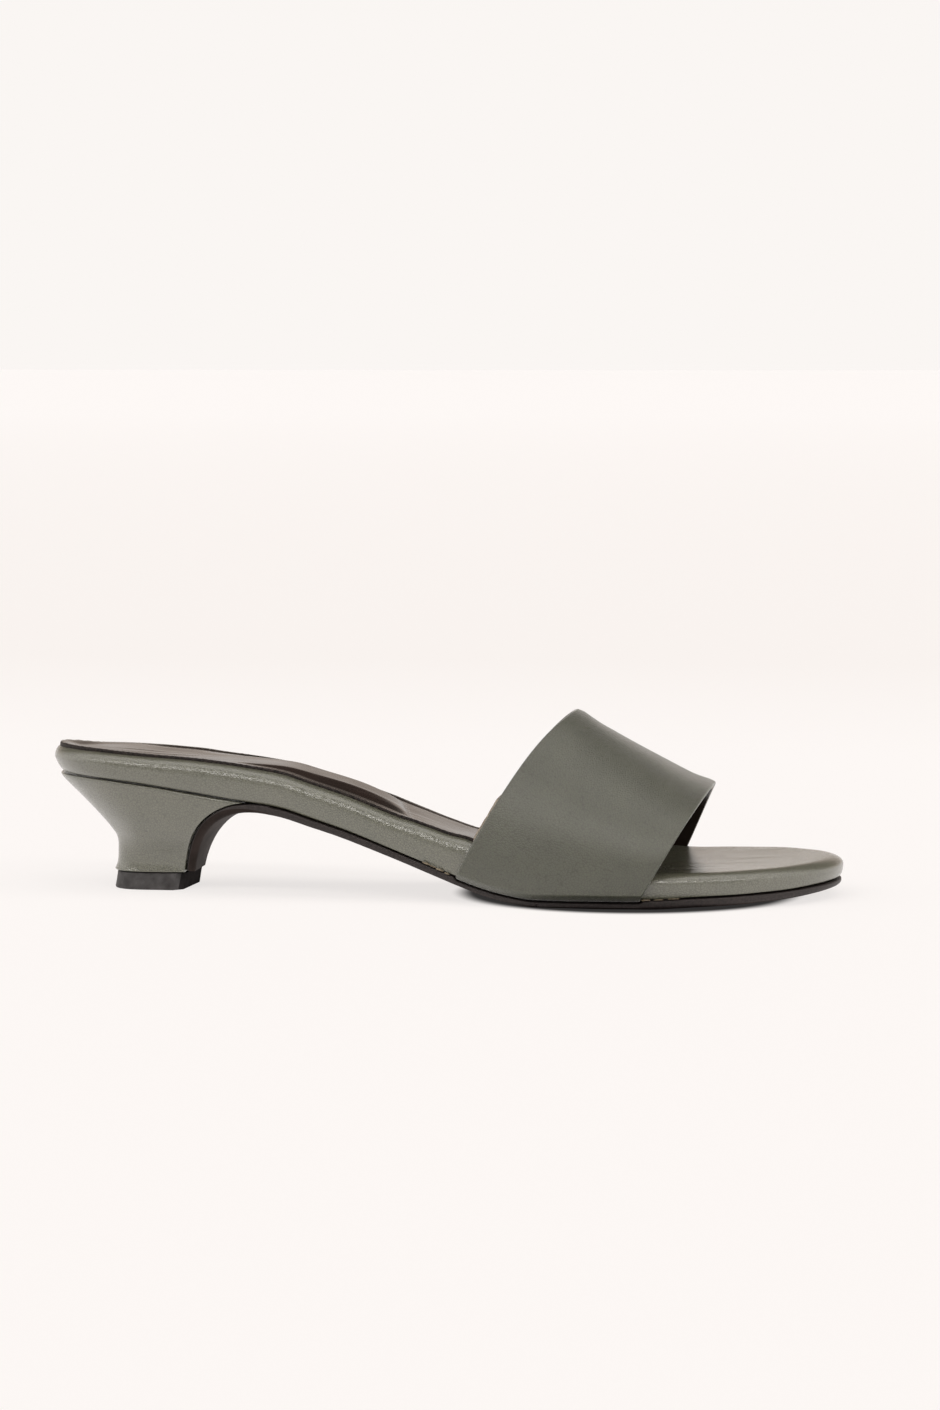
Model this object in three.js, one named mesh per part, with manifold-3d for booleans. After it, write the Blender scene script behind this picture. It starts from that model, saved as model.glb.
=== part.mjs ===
// A kitten-heel slide sandal for the right foot: one broad leather strap over a padded, leather-wrapped
// footbed, on a thin sole that runs down the front of a small flared heel. Millimetres.
// While it is built, x runs from the back of the heel (0) to the toe, +y to the inner side, z up from the floor.

import * as THREE from "three";
import { mergeVertices } from "three/addons/utils/BufferGeometryUtils.js";
import Module from "manifold-3d";

const wasm = await Module();
wasm.setup();

// Whole shoe
const soleLength = 246;
const ballWidth = 78;
const heelHeight = 36.5; // floor to the underside of the footbed, at the back
const toeSpring = 3.7; // how far the toe lifts off the floor
const clearance = 0.3; // between pieces that touch

// Outline ends, as radii of the rounding along the shoe
const heelRounding = 27;
const toeRounding = 42;

// Sole
const outsoleThickness = 2.5;
const outsoleChamfer = 0.5;
const outsoleInset = 0.5; // sole edge in from the footbed's side
const breastStart = 72; // where the sole leaves the waist and turns down the heel
const breastFoot = 46; // where it meets the top piece
const breastCurl = 16; // how far it keeps running backwards before it turns
const breastDrop = 14; // how far above the top piece it has turned down
const breastLean = 8; // degrees from upright at the top piece
const breastCrown = 1.2; // how far the sole's middle stands out on the heel

// Heel
const topPieceHeight = 5.3;
const topPieceWidth = 22.8;
const topPieceFlare = 1;
const topPieceBack = 20.8;
const topPieceFront = 44.2;
const topPieceCorner = 2.8; // its two front corners, cut off
const topPieceTurn = 0.7; // how far its front is ahead on the inner side and behind on the outer
const topPieceSkive = 1; // how far its front leans back to the floor
const heelBack = 20.7; // back of the heel's neck
const heelNeckWidth = 22;
const heelRoundness = 2.7; // exponent of the round back of the neck and the top piece
const heelBackShare = 0.6; // share of the points of its side that the round back takes
const heelSeatInset = 1.6; // heel's upper edge in from the footbed's side
const heelSeatBack = 3.4; // back of the heel's upper edge
const heelTongue = 64; // front of the heel, between the footbed and the sole

// Footbed and its lining
const footbedThickness = 10;
const footbedBank = 1.6; // how far it falls from its middle to its inner side, behind the strap
const footbedTuck = 2.8; // how far its side leans in towards the bottom, at the heel
const footbedShoulder = 4.3; // width of its rounded upper edge, at the heel
const dishDepth = 2.6; // hollow under the heel and the arch
const sockThickness = 1.3;
const sockProud = 0.1; // how far it stands above the rim that it is let into
const sockLength = 164;
const sockCorner = 12;
const sockCornerIn = 0.35; // share of its half width that each front corner takes
const sockEdge = 0.4; // share of its thickness that its edge rounds off

// Strap
const strapThickness = 2.1;
const strapMargin = 11; // turned under the footbed
const strapMarginThickness = 0.5; // pared thin there
const strapBackOuter = 131; // where each lower corner of the strap meets the sole
const strapFrontOuter = 187.5;
const strapBackInner = 127.5;
const strapFrontInner = 192;
const crestBack = 164; // the strap's highest line, over the instep
const crestFront = 206.3;
const crestBackHeight = 57.2; // top of the strap there, above the floor
const crestFrontHeight = 34;
const crestSag = 2; // how far that line dips between its ends
const crestShift = 5; // towards the inner side

// Fineness of the meshes
const endSteps = 9;
const midSteps = 26;
const dishSteps = 3;
const shoulderSteps = 4;
const breastSteps = 12;
const heelSteps = 14;
const heelSideSteps = 11;
const hoopCount = 13;
const archSteps = 11;

// Centre line and half width of the footbed, before its ends are rounded.
// along: share of soleLength. centre, half: shares of ballWidth.
const outlineRows = [
  { along: 0.0, centre: 0.0, half: 0.312 },
  { along: 0.06, centre: 0.0, half: 0.316 },
  { along: 0.13, centre: -0.001, half: 0.318 },
  { along: 0.25, centre: -0.012, half: 0.31 },
  { along: 0.37, centre: -0.038, half: 0.298 },
  { along: 0.45, centre: -0.053, half: 0.305 },
  { along: 0.53, centre: -0.056, half: 0.347 },
  { along: 0.61, centre: -0.037, half: 0.428 },
  { along: 0.68, centre: -0.011, half: 0.485 },
  { along: 0.74, centre: 0.004, half: 0.501 },
  { along: 0.8, centre: 0.02, half: 0.503 },
  { along: 0.86, centre: 0.038, half: 0.494 },
  { along: 0.92, centre: 0.054, half: 0.481 },
  { along: 1.0, centre: 0.07, half: 0.46 },
];

// Underside of the outsole. rise: share of the heel's lift. spring: share of toeSpring.
// sole: share of outsoleThickness.
const soleRows = [
  { along: 0.0, rise: 1.0, spring: 0, sole: 1.0 },
  { along: 0.07, rise: 0.98, spring: 0, sole: 1.0 },
  { along: 0.134, rise: 0.93, spring: 0, sole: 1.0 },
  { along: 0.206, rise: 0.85, spring: 0, sole: 1.0 },
  { along: 0.26, rise: 0.79, spring: 0, sole: 1.0 },
  { along: 0.306, rise: 0.738, spring: 0, sole: 1.0 },
  { along: 0.346, rise: 0.65, spring: 0, sole: 1.0 },
  { along: 0.387, rise: 0.556, spring: 0, sole: 1.0 },
  { along: 0.427, rise: 0.452, spring: 0, sole: 1.0 },
  { along: 0.468, rise: 0.338, spring: 0, sole: 1.0 },
  { along: 0.508, rise: 0.23, spring: 0, sole: 1.0 },
  { along: 0.536, rise: 0.155, spring: 0, sole: 1.02 },
  { along: 0.566, rise: 0.085, spring: 0, sole: 1.05 },
  { along: 0.598, rise: 0.032, spring: 0, sole: 1.09 },
  { along: 0.633, rise: 0, spring: 0, sole: 1.12 },
  { along: 0.73, rise: 0, spring: 0, sole: 1.17 },
  { along: 0.77, rise: 0, spring: 0, sole: 1.19 },
  { along: 0.829, rise: 0, spring: 0.2, sole: 1.17 },
  { along: 0.878, rise: 0, spring: 0.35, sole: 1.14 },
  { along: 0.94, rise: 0, spring: 0.6, sole: 1.03 },
  { along: 0.975, rise: 0, spring: 0.83, sole: 0.95 },
  { along: 1.0, rise: 0, spring: 1, sole: 0.85 },
];

// Footbed section. thick: share of footbedThickness. tuck, shoulder, dish, bank: shares of the sizes of those names.
const footbedRows = [
  { along: 0.0, thick: 0.78, tuck: 1.0, shoulder: 0.72, dish: 0.1, bank: 0.0 },
  { along: 0.03, thick: 0.77, tuck: 1.0, shoulder: 0.82, dish: 0.3, bank: 0.05 },
  { along: 0.077, thick: 0.76, tuck: 0.95, shoulder: 0.95, dish: 0.5, bank: 0.15 },
  { along: 0.134, thick: 0.8, tuck: 0.85, shoulder: 0.97, dish: 0.8, bank: 0.2 },
  { along: 0.206, thick: 0.93, tuck: 0.75, shoulder: 1.0, dish: 0.95, bank: 0.25 },
  { along: 0.26, thick: 0.97, tuck: 0.65, shoulder: 1.05, dish: 1.0, bank: 0.25 },
  { along: 0.344, thick: 0.96, tuck: 0.5, shoulder: 1.1, dish: 1.0, bank: 0.2 },
  { along: 0.41, thick: 0.98, tuck: 0.4, shoulder: 1.1, dish: 0.8, bank: 0.05 },
  { along: 0.45, thick: 0.98, tuck: 0.35, shoulder: 1.05, dish: 0.3, bank: 0.0 },
  { along: 0.476, thick: 1.0, tuck: 0.3, shoulder: 1.0, dish: 0.12, bank: 0.3 },
  { along: 0.516, thick: 1.0, tuck: 0.3, shoulder: 1.0, dish: 0.12, bank: 0.7 },
  { along: 0.547, thick: 1.05, tuck: 0.3, shoulder: 1.0, dish: 0.12, bank: 1.0 },
  { along: 0.6, thick: 1.0, tuck: 0.25, shoulder: 1.05, dish: 0.15, bank: 0.9 },
  { along: 0.68, thick: 0.87, tuck: 0.25, shoulder: 1.1, dish: 0.2, bank: 0.25 },
  { along: 0.75, thick: 0.8, tuck: 0.25, shoulder: 1.1, dish: 0.24, bank: 0.0 },
  { along: 0.82, thick: 0.69, tuck: 0.25, shoulder: 1.1, dish: 0.26, bank: 0.0 },
  { along: 0.92, thick: 0.665, tuck: 0.3, shoulder: 1.05, dish: 0.24, bank: 0.0 },
  { along: 1.0, thick: 0.62, tuck: 0.4, shoulder: 1.0, dish: 0.0, bank: 0.0 },
];

// Front of the heel, along the sole's run down it. path: 0 at the waist, 1 at the top piece.
// half: share of ballWidth.
const breastRows = [
  { path: 0.0, half: 0.3 },
  { path: 0.25, half: 0.293 },
  { path: 0.5, half: 0.262 },
  { path: 0.75, half: 0.187 },
  { path: 0.88, half: 0.152 },
  { path: 1.0, half: 0.13 },
];

// How far the heel has flared from its neck (0) to its seat (1): flare at its back, spread at its front.
// up: share of heelHeight.
const heelRows = [
  { up: 0.15, flare: 0.057, spread: 0.02 },
  { up: 0.21, flare: 0.03, spread: 0.03 },
  { up: 0.3, flare: 0.008, spread: 0.12 },
  { up: 0.37, flare: 0.012, spread: 0.28 },
  { up: 0.436, flare: 0.057, spread: 0.46 },
  { up: 0.5, flare: 0.165, spread: 0.63 },
  { up: 0.644, flare: 0.415, spread: 0.88 },
  { up: 0.795, flare: 0.705, spread: 0.98 },
  { up: 0.942, flare: 0.985, spread: 1.0 },
  { up: 1.05, flare: 1.16, spread: 1.0 },
];

// Hoops of the strap, from its back edge (0) to its front edge (1). round: exponent of the arch. lean: exponent of
// its lean forwards. tip: share of the lean that falls close to the crest. sag: share of crestSag.
const hoopRows = [
  { across: 0.0, round: 2.15, lean: 1.12, tip: 0.12, sag: 0.0 },
  { across: 0.2, round: 2.2, lean: 1.1, tip: 0.11, sag: 0.85 },
  { across: 0.5, round: 2.25, lean: 1.06, tip: 0.09, sag: 1.0 },
  { across: 0.8, round: 2.3, lean: 1.02, tip: 0.06, sag: 0.7 },
  { across: 1.0, round: 2.35, lean: 1.0, tip: 0.05, sag: 0.0 },
];

const lerp = THREE.MathUtils.lerp;
const radians = THREE.MathUtils.degToRad;

// A smooth curve through one column of a table, level wherever the column stops rising or falling.
function curveThrough(rows, key, column) {
  const slopes = rows.slice(1).map((row, i) => (row[column] - rows[i][column]) / (row[key] - rows[i][key]));
  const tangents = rows.map((row, i) => {
    const before = slopes[Math.max(i - 1, 0)];
    const after = slopes[Math.min(i, slopes.length - 1)];
    return before * after > 0 ? (2 * before * after) / (before + after) : 0;
  });
  return (at) => {
    const place = THREE.MathUtils.clamp(at, rows[0][key], rows[rows.length - 1][key]);
    let i = 0;
    while (i < rows.length - 2 && place > rows[i + 1][key]) i += 1;
    const span = rows[i + 1][key] - rows[i][key];
    const t = (place - rows[i][key]) / span;
    return (
      rows[i][column] * (1 + 2 * t) * (1 - t) ** 2 +
      tangents[i] * span * t * (1 - t) ** 2 +
      rows[i + 1][column] * t * t * (3 - 2 * t) +
      tangents[i + 1] * span * t * t * (t - 1)
    );
  };
}

const outlineCentre = curveThrough(outlineRows, "along", "centre");
const outlineHalf = curveThrough(outlineRows, "along", "half");
const soleRise = curveThrough(soleRows, "along", "rise");
const soleSpring = curveThrough(soleRows, "along", "spring");
const soleThick = curveThrough(soleRows, "along", "sole");
const footbedThick = curveThrough(footbedRows, "along", "thick");
const footbedTuckShare = curveThrough(footbedRows, "along", "tuck");
const footbedShoulderShare = curveThrough(footbedRows, "along", "shoulder");
const footbedDishShare = curveThrough(footbedRows, "along", "dish");
const footbedBankShare = curveThrough(footbedRows, "along", "bank");
const breastHalf = curveThrough(breastRows, "path", "half");
const heelFlare = curveThrough(heelRows, "up", "flare");
const heelSpread = curveThrough(heelRows, "up", "spread");
const hoopRound = curveThrough(hoopRows, "across", "round");
const hoopLean = curveThrough(hoopRows, "across", "lean");
const hoopTip = curveThrough(hoopRows, "across", "tip");
const hoopSag = curveThrough(hoopRows, "across", "sag");

const centreAt = (x) => outlineCentre(x / soleLength) * ballWidth;

// Half width of the footbed at x, with the round heel and toe.
function halfWidthAt(x) {
  const fromEnd = Math.min(x / heelRounding, (soleLength - x) / toeRounding, 1);
  return outlineHalf(x / soleLength) * ballWidth * Math.sqrt(Math.max(0, 1 - (1 - fromEnd) ** 2));
}

// The outsole's underside and the footbed's, which lies on it. across is -1 on the outer side and 1 on the inner.
const heelLift = heelHeight - outsoleThickness - clearance;
const undersideAt = (x) => soleRise(x / soleLength) * heelLift + soleSpring(x / soleLength) * toeSpring;
const outsoleThicknessAt = (x) => soleThick(x / soleLength) * outsoleThickness;
const seatAt = (x) => undersideAt(x) + outsoleThicknessAt(x) + clearance;
const bankAt = (x) => footbedBankShare(x / soleLength) * footbedBank;
const thicknessAt = (x, across) => footbedThick(x / soleLength) * footbedThickness - bankAt(x) * across;
const tuckAt = (x) => footbedTuckShare(x / soleLength) * footbedTuck;
const shoulderAt = (x) => footbedShoulderShare(x / soleLength) * footbedShoulder;
const dishAt = (x) => footbedDishShare(x / soleLength) * dishDepth;

const widestShare = 0.56; // how far up its side the footbed is widest

// Height of the footbed's rounded rim. over is 0 at the sock lining and 1 on the outline.
const rimTop = (x, across, over) =>
  seatAt(x) + thicknessAt(x, across) * lerp(widestShare, 1, Math.sqrt(Math.max(0, 1 - over * over)));

// Height of the bed inside the rim, let in for the sock lining. inward is 0 in the middle and 1 at the rim.
const recessDepth = sockThickness + clearance - sockProud;
const recessFadeStart = sockLength - 3 * sockCorner;
const recessAt = (x) => recessDepth * (1 - THREE.MathUtils.smoothstep(x, recessFadeStart, sockLength));
const bedTop = (x, across, inward) =>
  seatAt(x) + thicknessAt(x, across) - recessAt(x) - dishAt(x) * Math.max(0, 1 - inward * inward) ** 1.5;

// Stations along the shoe between two places, closer together at a rounded end.
function stationsBetween(start, end, roundStart, roundEnd, steps) {
  const places = [];
  for (let i = 0; roundStart > 0 && i < endSteps; i += 1)
    places.push(start + roundStart * (1 - Math.cos((Math.PI / 2) * (i / endSteps))));
  for (let i = 0; i <= steps; i += 1) places.push(lerp(start + roundStart, end - roundEnd, i / steps));
  for (let i = 1; roundEnd > 0 && i <= endSteps; i += 1)
    places.push(end - roundEnd * (1 - Math.sin((Math.PI / 2) * (i / endSteps))));
  return places;
}

// A closed geometry from rows of points: equal rows, joined to the next and each closed round, with coincident
// points merged. Open ends are closed across, first point to last.
function skin(rings, closeEnds) {
  const positions = rings.flat(2);
  const size = rings[0].length;
  const faces = [];
  const quad = (a, b, c, d) => faces.push(a, b, c, a, c, d);
  for (let i = 0; i + 1 < rings.length; i += 1)
    for (let k = 0; k < size; k += 1) {
      const next = (k + 1) % size;
      quad(i * size + k, i * size + next, (i + 1) * size + next, (i + 1) * size + k);
    }
  if (closeEnds) {
    const last = (rings.length - 1) * size;
    for (let k = 0; k < size / 2 - 1; k += 1) {
      const mate = size - 1 - k;
      quad(k, mate, mate - 1, k + 1);
      quad(last + k, last + k + 1, last + mate - 1, last + mate);
    }
  }
  const raw = new THREE.BufferGeometry();
  raw.setAttribute("position", new THREE.Float32BufferAttribute(positions, 3));
  raw.setIndex(faces);
  const merged = mergeVertices(raw, 1e-3);
  const corners = merged.index.array;
  const kept = [];
  for (let i = 0; i < corners.length; i += 3) {
    const [a, b, c] = [corners[i], corners[i + 1], corners[i + 2]];
    if (a !== b && b !== c && c !== a) kept.push(a, b, c);
  }
  merged.setIndex(kept);
  return merged;
}

// manifold-3d solids, used only to cut one piece by another.
function toSolid(geometry) {
  const bare = new THREE.BufferGeometry();
  bare.setAttribute("position", geometry.getAttribute("position"));
  bare.setIndex(geometry.index);
  const merged = mergeVertices(bare, 1e-4);
  return new wasm.Manifold(
    new wasm.Mesh({
      numProp: 3,
      vertProperties: merged.attributes.position.array,
      triVerts: new Uint32Array(merged.index.array),
    }),
  );
}

function toGeometry(solid) {
  const mesh = solid.getMesh();
  const geometry = new THREE.BufferGeometry();
  geometry.setAttribute("position", new THREE.BufferAttribute(mesh.vertProperties, 3));
  geometry.setIndex(new THREE.BufferAttribute(mesh.triVerts, 1));
  return geometry;
}

// The spine that the footbed's rings shrink to, clear of the round ends.
const spineAt = (x) => THREE.MathUtils.clamp(x, heelRounding, soleLength - toeRounding);

// A point between the spine (reach 0) and the outline (reach 1). side is -1 on the outer side and 1 on the inner.
function plotPoint(x, side, reach) {
  const spine = spineAt(x);
  const outer = centreAt(x) + side * halfWidthAt(x);
  return [lerp(spine, x, reach), lerp(centreAt(spine), outer, reach)];
}

// Half width that a reach is measured against: that of the outline before its ends are rounded.
const reachHalf = (x) => outlineHalf(x / soleLength) * ballWidth;

// Where a reach lies across the shoe, from -1 on its outer side to 1 on its inner side.
const acrossAt = (x, side, reach) => (side * reach * halfWidthAt(x)) / reachHalf(x);

// Footbed: its section runs from the spine out along the underside, up the side and back over the top.
function footbedSection(x, side) {
  const half = reachHalf(x);
  const points = [];
  const put = (reach, height) => {
    const [px, py] = plotPoint(x, side, reach);
    points.push([px, py, height(px, acrossAt(x, side, reach))]);
  };
  const flankReach = 1 - tuckAt(x) / half;
  for (let i = 0; i < dishSteps; i += 1) put((flankReach * i) / dishSteps, seatAt);
  for (let i = 0; i <= shoulderSteps; i += 1) {
    const turn = (Math.PI / 2) * (i / shoulderSteps);
    const rise = widestShare * (1 - Math.cos(turn));
    put(lerp(flankReach, 1, Math.sin(turn)), (px, across) => seatAt(px) + thicknessAt(px, across) * rise);
  }
  const shoulderReach = 1 - shoulderAt(x) / half;
  for (let i = 1; i <= shoulderSteps; i += 1) {
    const over = Math.cos((Math.PI / 2) * (i / shoulderSteps));
    put(lerp(shoulderReach, 1, over), (px, across) => rimTop(px, across, over));
  }
  for (let i = dishSteps + 1; i >= 0; i -= 1) {
    const inward = i / (dishSteps + 1);
    put(shoulderReach * inward, (px, across) => bedTop(px, across, inward));
  }
  return points;
}

// Rows of sections joined across the middle: the inner side's section, then the outer side's backwards.
function twoSided(places, section) {
  return places.map((x) => [...section(x, 1), ...section(x, -1).reverse()]);
}

function footbed() {
  const places = stationsBetween(0, soleLength, heelRounding, toeRounding, midSteps);
  return skin(twoSided(places, footbedSection), false);
}

// Sock lining: a thin pad let into the footbed, from the heel to under the strap, with rounded front corners.
function sockSection(x, side) {
  const half = reachHalf(x);
  const cornerIn = Math.max(0, 1 - (sockLength - x) / sockCorner);
  const corner = 1 - sockCornerIn * (1 - Math.sqrt(1 - cornerIn * cornerIn));
  const bedReach = 1 - shoulderAt(x) / half;
  const edge = (1 - clearance / (half * bedReach)) * corner;
  const rim = (sockThickness * sockEdge) / half;
  const points = [];
  const put = (inward, lift) => {
    const [px, py] = plotPoint(x, side, inward * bedReach);
    const across = acrossAt(x, side, inward * bedReach);
    points.push([px, py, bedTop(px, across, inward) + clearance + lift]);
  };
  for (let i = 0; i <= dishSteps + 1; i += 1) put((edge * i) / (dishSteps + 1), 0);
  put(edge, sockThickness * (1 - sockEdge));
  for (let i = dishSteps + 1; i >= 0; i -= 1) put(((edge - rim) * i) / (dishSteps + 1), sockThickness);
  return points;
}

function sock() {
  const places = stationsBetween(0, sockLength, heelRounding, sockCorner, Math.round(midSteps * 0.6));
  return skin(twoSided(places, sockSection), true);
}

// The sole's underside where it runs down the heel, from the waist (0) to the top piece (1).
const seatSlope = (seatAt(breastStart + 1) - seatAt(breastStart - 1)) / 2;
const breastEndHeight = topPieceHeight + clearance;
const breastPath = new THREE.CubicBezierCurve(
  new THREE.Vector2(breastStart, undersideAt(breastStart)),
  new THREE.Vector2(breastStart - breastCurl, undersideAt(breastStart) - seatSlope * breastCurl),
  new THREE.Vector2(
    breastFoot + breastDrop * Math.tan(radians(breastLean)),
    breastEndHeight + breastDrop,
  ),
  new THREE.Vector2(breastFoot, breastEndHeight),
);

// A point of the breast, lift away from its visible face, towards the heel and the footbed.
function breastPoint(path, lift) {
  const at = breastPath.getPoint(path);
  const along = breastPath.getTangent(path);
  return [at.x + along.y * lift, at.y - along.x * lift];
}

// One section of the sole: underside and top, between chamfered edges, as offsets from the middle.
function outsoleSection(half, thickness, place) {
  const edge = half - outsoleInset;
  const side = (sign) => [
    place(0, 0),
    place(sign * edge * 0.5, 0),
    place(sign * (edge - outsoleChamfer), 0),
    place(sign * edge, outsoleChamfer),
    place(sign * edge, thickness - outsoleChamfer * 0.5),
    place(sign * (edge - outsoleChamfer * 0.5), thickness),
    place(sign * edge * 0.5, thickness),
    place(0, thickness),
  ];
  return [...side(-1), ...side(1).reverse()];
}

function outsolePlate() {
  const toeEnd = soleLength - 2 * outsoleInset;
  const places = stationsBetween(breastStart, toeEnd, 0, toeRounding, midSteps).reverse();
  return places.map((x) => {
    const fromEnd = Math.min((toeEnd - x) / toeRounding, 1);
    const half = reachHalf(x) * Math.sqrt(Math.max(0, 1 - (1 - fromEnd) ** 2));
    const spare = Math.max(half, outsoleInset + 2 * outsoleChamfer + 0.6);
    const place = (across, up) => [x, centreAt(x) + across, undersideAt(x) + up];
    return outsoleSection(spare, outsoleThicknessAt(x), place);
  });
}

function outsoleBreast() {
  const rings = [];
  for (let i = 1; i <= breastSteps; i += 1) {
    const path = i / breastSteps;
    const middle = lerp(centreAt(breastStart), 0, path);
    const half = lerp(halfWidthAt(breastStart), breastHalf(path) * ballWidth, Math.min(1, path * 4));
    rings.push(
      outsoleSection(half, outsoleThickness, (across, up) => {
        const crown = breastCrown * Math.sin(Math.PI * path) * (1 - (across / half) ** 2);
        const [x, z] = breastPoint(path, up - crown * (1 - up / outsoleThickness));
        return [x, middle + across, z];
      }),
    );
  }
  return rings;
}

// The room that the strap's turned-under margin takes out of the sole, on one side.
function marginRecess(side) {
  const rings = [];
  const start = (side < 0 ? strapBackOuter : strapBackInner) - 2 * clearance;
  const end = (side < 0 ? strapFrontOuter : strapFrontInner) + 2 * clearance;
  for (let i = 0; i <= midSteps; i += 1) {
    const x = lerp(start, end, i / midSteps);
    const floor = seatAt(x) - 2 * clearance - strapMarginThickness;
    const inner = centreAt(x) + side * (halfWidthAt(x) - strapMargin - clearance);
    const outer = centreAt(x) + side * (halfWidthAt(x) + strapThickness * 2);
    rings.push([
      [x, Math.min(inner, outer), floor],
      [x, Math.max(inner, outer), floor],
      [x, Math.max(inner, outer), seatAt(x)],
      [x, Math.min(inner, outer), seatAt(x)],
    ]);
  }
  return skin(rings, true);
}

function outsole() {
  const whole = toSolid(skin([...outsolePlate(), ...outsoleBreast()], true));
  const cut = whole.subtract(toSolid(marginRecess(-1))).subtract(toSolid(marginRecess(1)));
  return toGeometry(cut);
}

// One side of a D-shaped outline with a round back, at shares (0 to 1) of the way from the back to the front.
function roundedBack(back, front, halfWidth, share) {
  const turn = (Math.PI / 2) * Math.min(1, share / heelBackShare);
  const roundEnd = back + halfWidth;
  const x = roundEnd - halfWidth * Math.cos(turn) ** (2 / heelRoundness);
  const onward = Math.max(0, (share - heelBackShare) / (1 - heelBackShare));
  return [lerp(x, front, onward), halfWidth * Math.sin(turn) ** (2 / heelRoundness)];
}

// Outline of the heel at a height. The front is cut to the breast afterwards.
function heelRing(z) {
  const flare = heelFlare(z / heelHeight);
  const spread = heelSpread(z / heelHeight);
  const side = (sign) => {
    const points = [];
    for (let i = 0; i <= heelSideSteps; i += 1) {
      const share = i / heelSideSteps;
      const [neckX, neckY] = roundedBack(heelBack, breastFoot + 6, heelNeckWidth / 2, share);
      const along = (breastStart + 8 - heelSeatBack) * (1 - Math.cos((Math.PI / 2) * share));
      const seatY = Math.max(0, halfWidthAt(along) - heelSeatInset * Math.min(1, share * 3));
      const widening = lerp(flare, spread, THREE.MathUtils.smoothstep(share, 0.2, 0.8));
      const y = lerp(sign * neckY, centreAt(along) + sign * seatY, widening);
      points.push([lerp(neckX, heelSeatBack + along, flare), y, z]);
    }
    return points;
  };
  return [...side(-1), ...side(1).reverse()];
}

// A prism across the shoe whose outline, seen from the side, is the given line.
function crossPrism(line) {
  const depth = ballWidth * 2;
  const shape = new THREE.Shape(line.map(([x, z]) => new THREE.Vector2(x, z)));
  const geometry = new THREE.ExtrudeGeometry(shape, { depth, bevelEnabled: false, curveSegments: 1 });
  geometry.rotateX(Math.PI / 2).translate(0, depth / 2, 0);
  geometry.deleteAttribute("normal");
  geometry.deleteAttribute("uv");
  return mergeVertices(geometry, 1e-4);
}

function heel() {
  const rings = [];
  const foot = topPieceHeight + clearance;
  const seatTop = heelHeight * 1.05;
  for (let i = 0; i <= heelSteps; i += 1) {
    const z = lerp(foot, seatTop, i / heelSteps);
    rings.push(heelRing(z));
  }
  const block = toSolid(skin(rings, true));

  const seatLine = [];
  for (let x = -10; x <= breastStart + 20; x += 3) seatLine.push([x, seatAt(Math.max(0, x)) - clearance]);
  seatLine.push([breastStart + 20, heelHeight * 2], [-10, heelHeight * 2]);

  const breastLine = [];
  for (let i = 0; i <= breastSteps; i += 1)
    breastLine.push(breastPoint(1 - i / breastSteps, outsoleThickness + clearance));
  const [footX] = breastLine[0];
  const tongueLine = [
    [heelTongue, -10],
    [breastStart + 20, -10],
    [breastStart + 20, heelHeight * 2],
    [heelTongue, heelHeight * 2],
  ];
  breastLine.push([breastStart + 1, -10], [footX - 0.2, -10]);

  const cutters = [seatLine, breastLine, tongueLine].map((line) => toSolid(crossPrism(line)));
  const cut = cutters.reduce((left, cutter) => left.subtract(cutter), block);
  const pieces = cut.decompose().sort((a, b) => b.volume() - a.volume());
  return toGeometry(pieces[0]);
}

// Top piece: the rubber tip under the heel and the end of the sole.
function topPiece() {
  const ring = (grow, z) => {
    const halfWidth = topPieceWidth / 2 + grow;
    const side = (sign) => {
      const front = topPieceFront + sign * topPieceTurn - topPieceSkive * (1 - z / topPieceHeight);
      const points = [];
      for (let i = 0; i <= heelSideSteps; i += 1) {
        const [x, y] = roundedBack(topPieceBack - grow, front - topPieceCorner, halfWidth, i / heelSideSteps);
        points.push([x, sign * y, z]);
      }
      points.push([front, sign * (halfWidth - topPieceCorner), z]);
      return points;
    };
    return [...side(-1), ...side(1).reverse()];
  };
  const rings = [
    ring(topPieceFlare - 0.6, 0),
    ring(topPieceFlare, 0.6),
    ring(topPieceFlare * 0.4, topPieceHeight * 0.5),
    ring(0, topPieceHeight - 0.3),
    ring(-0.3, topPieceHeight),
  ];
  return skin(rings, true);
}

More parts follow.
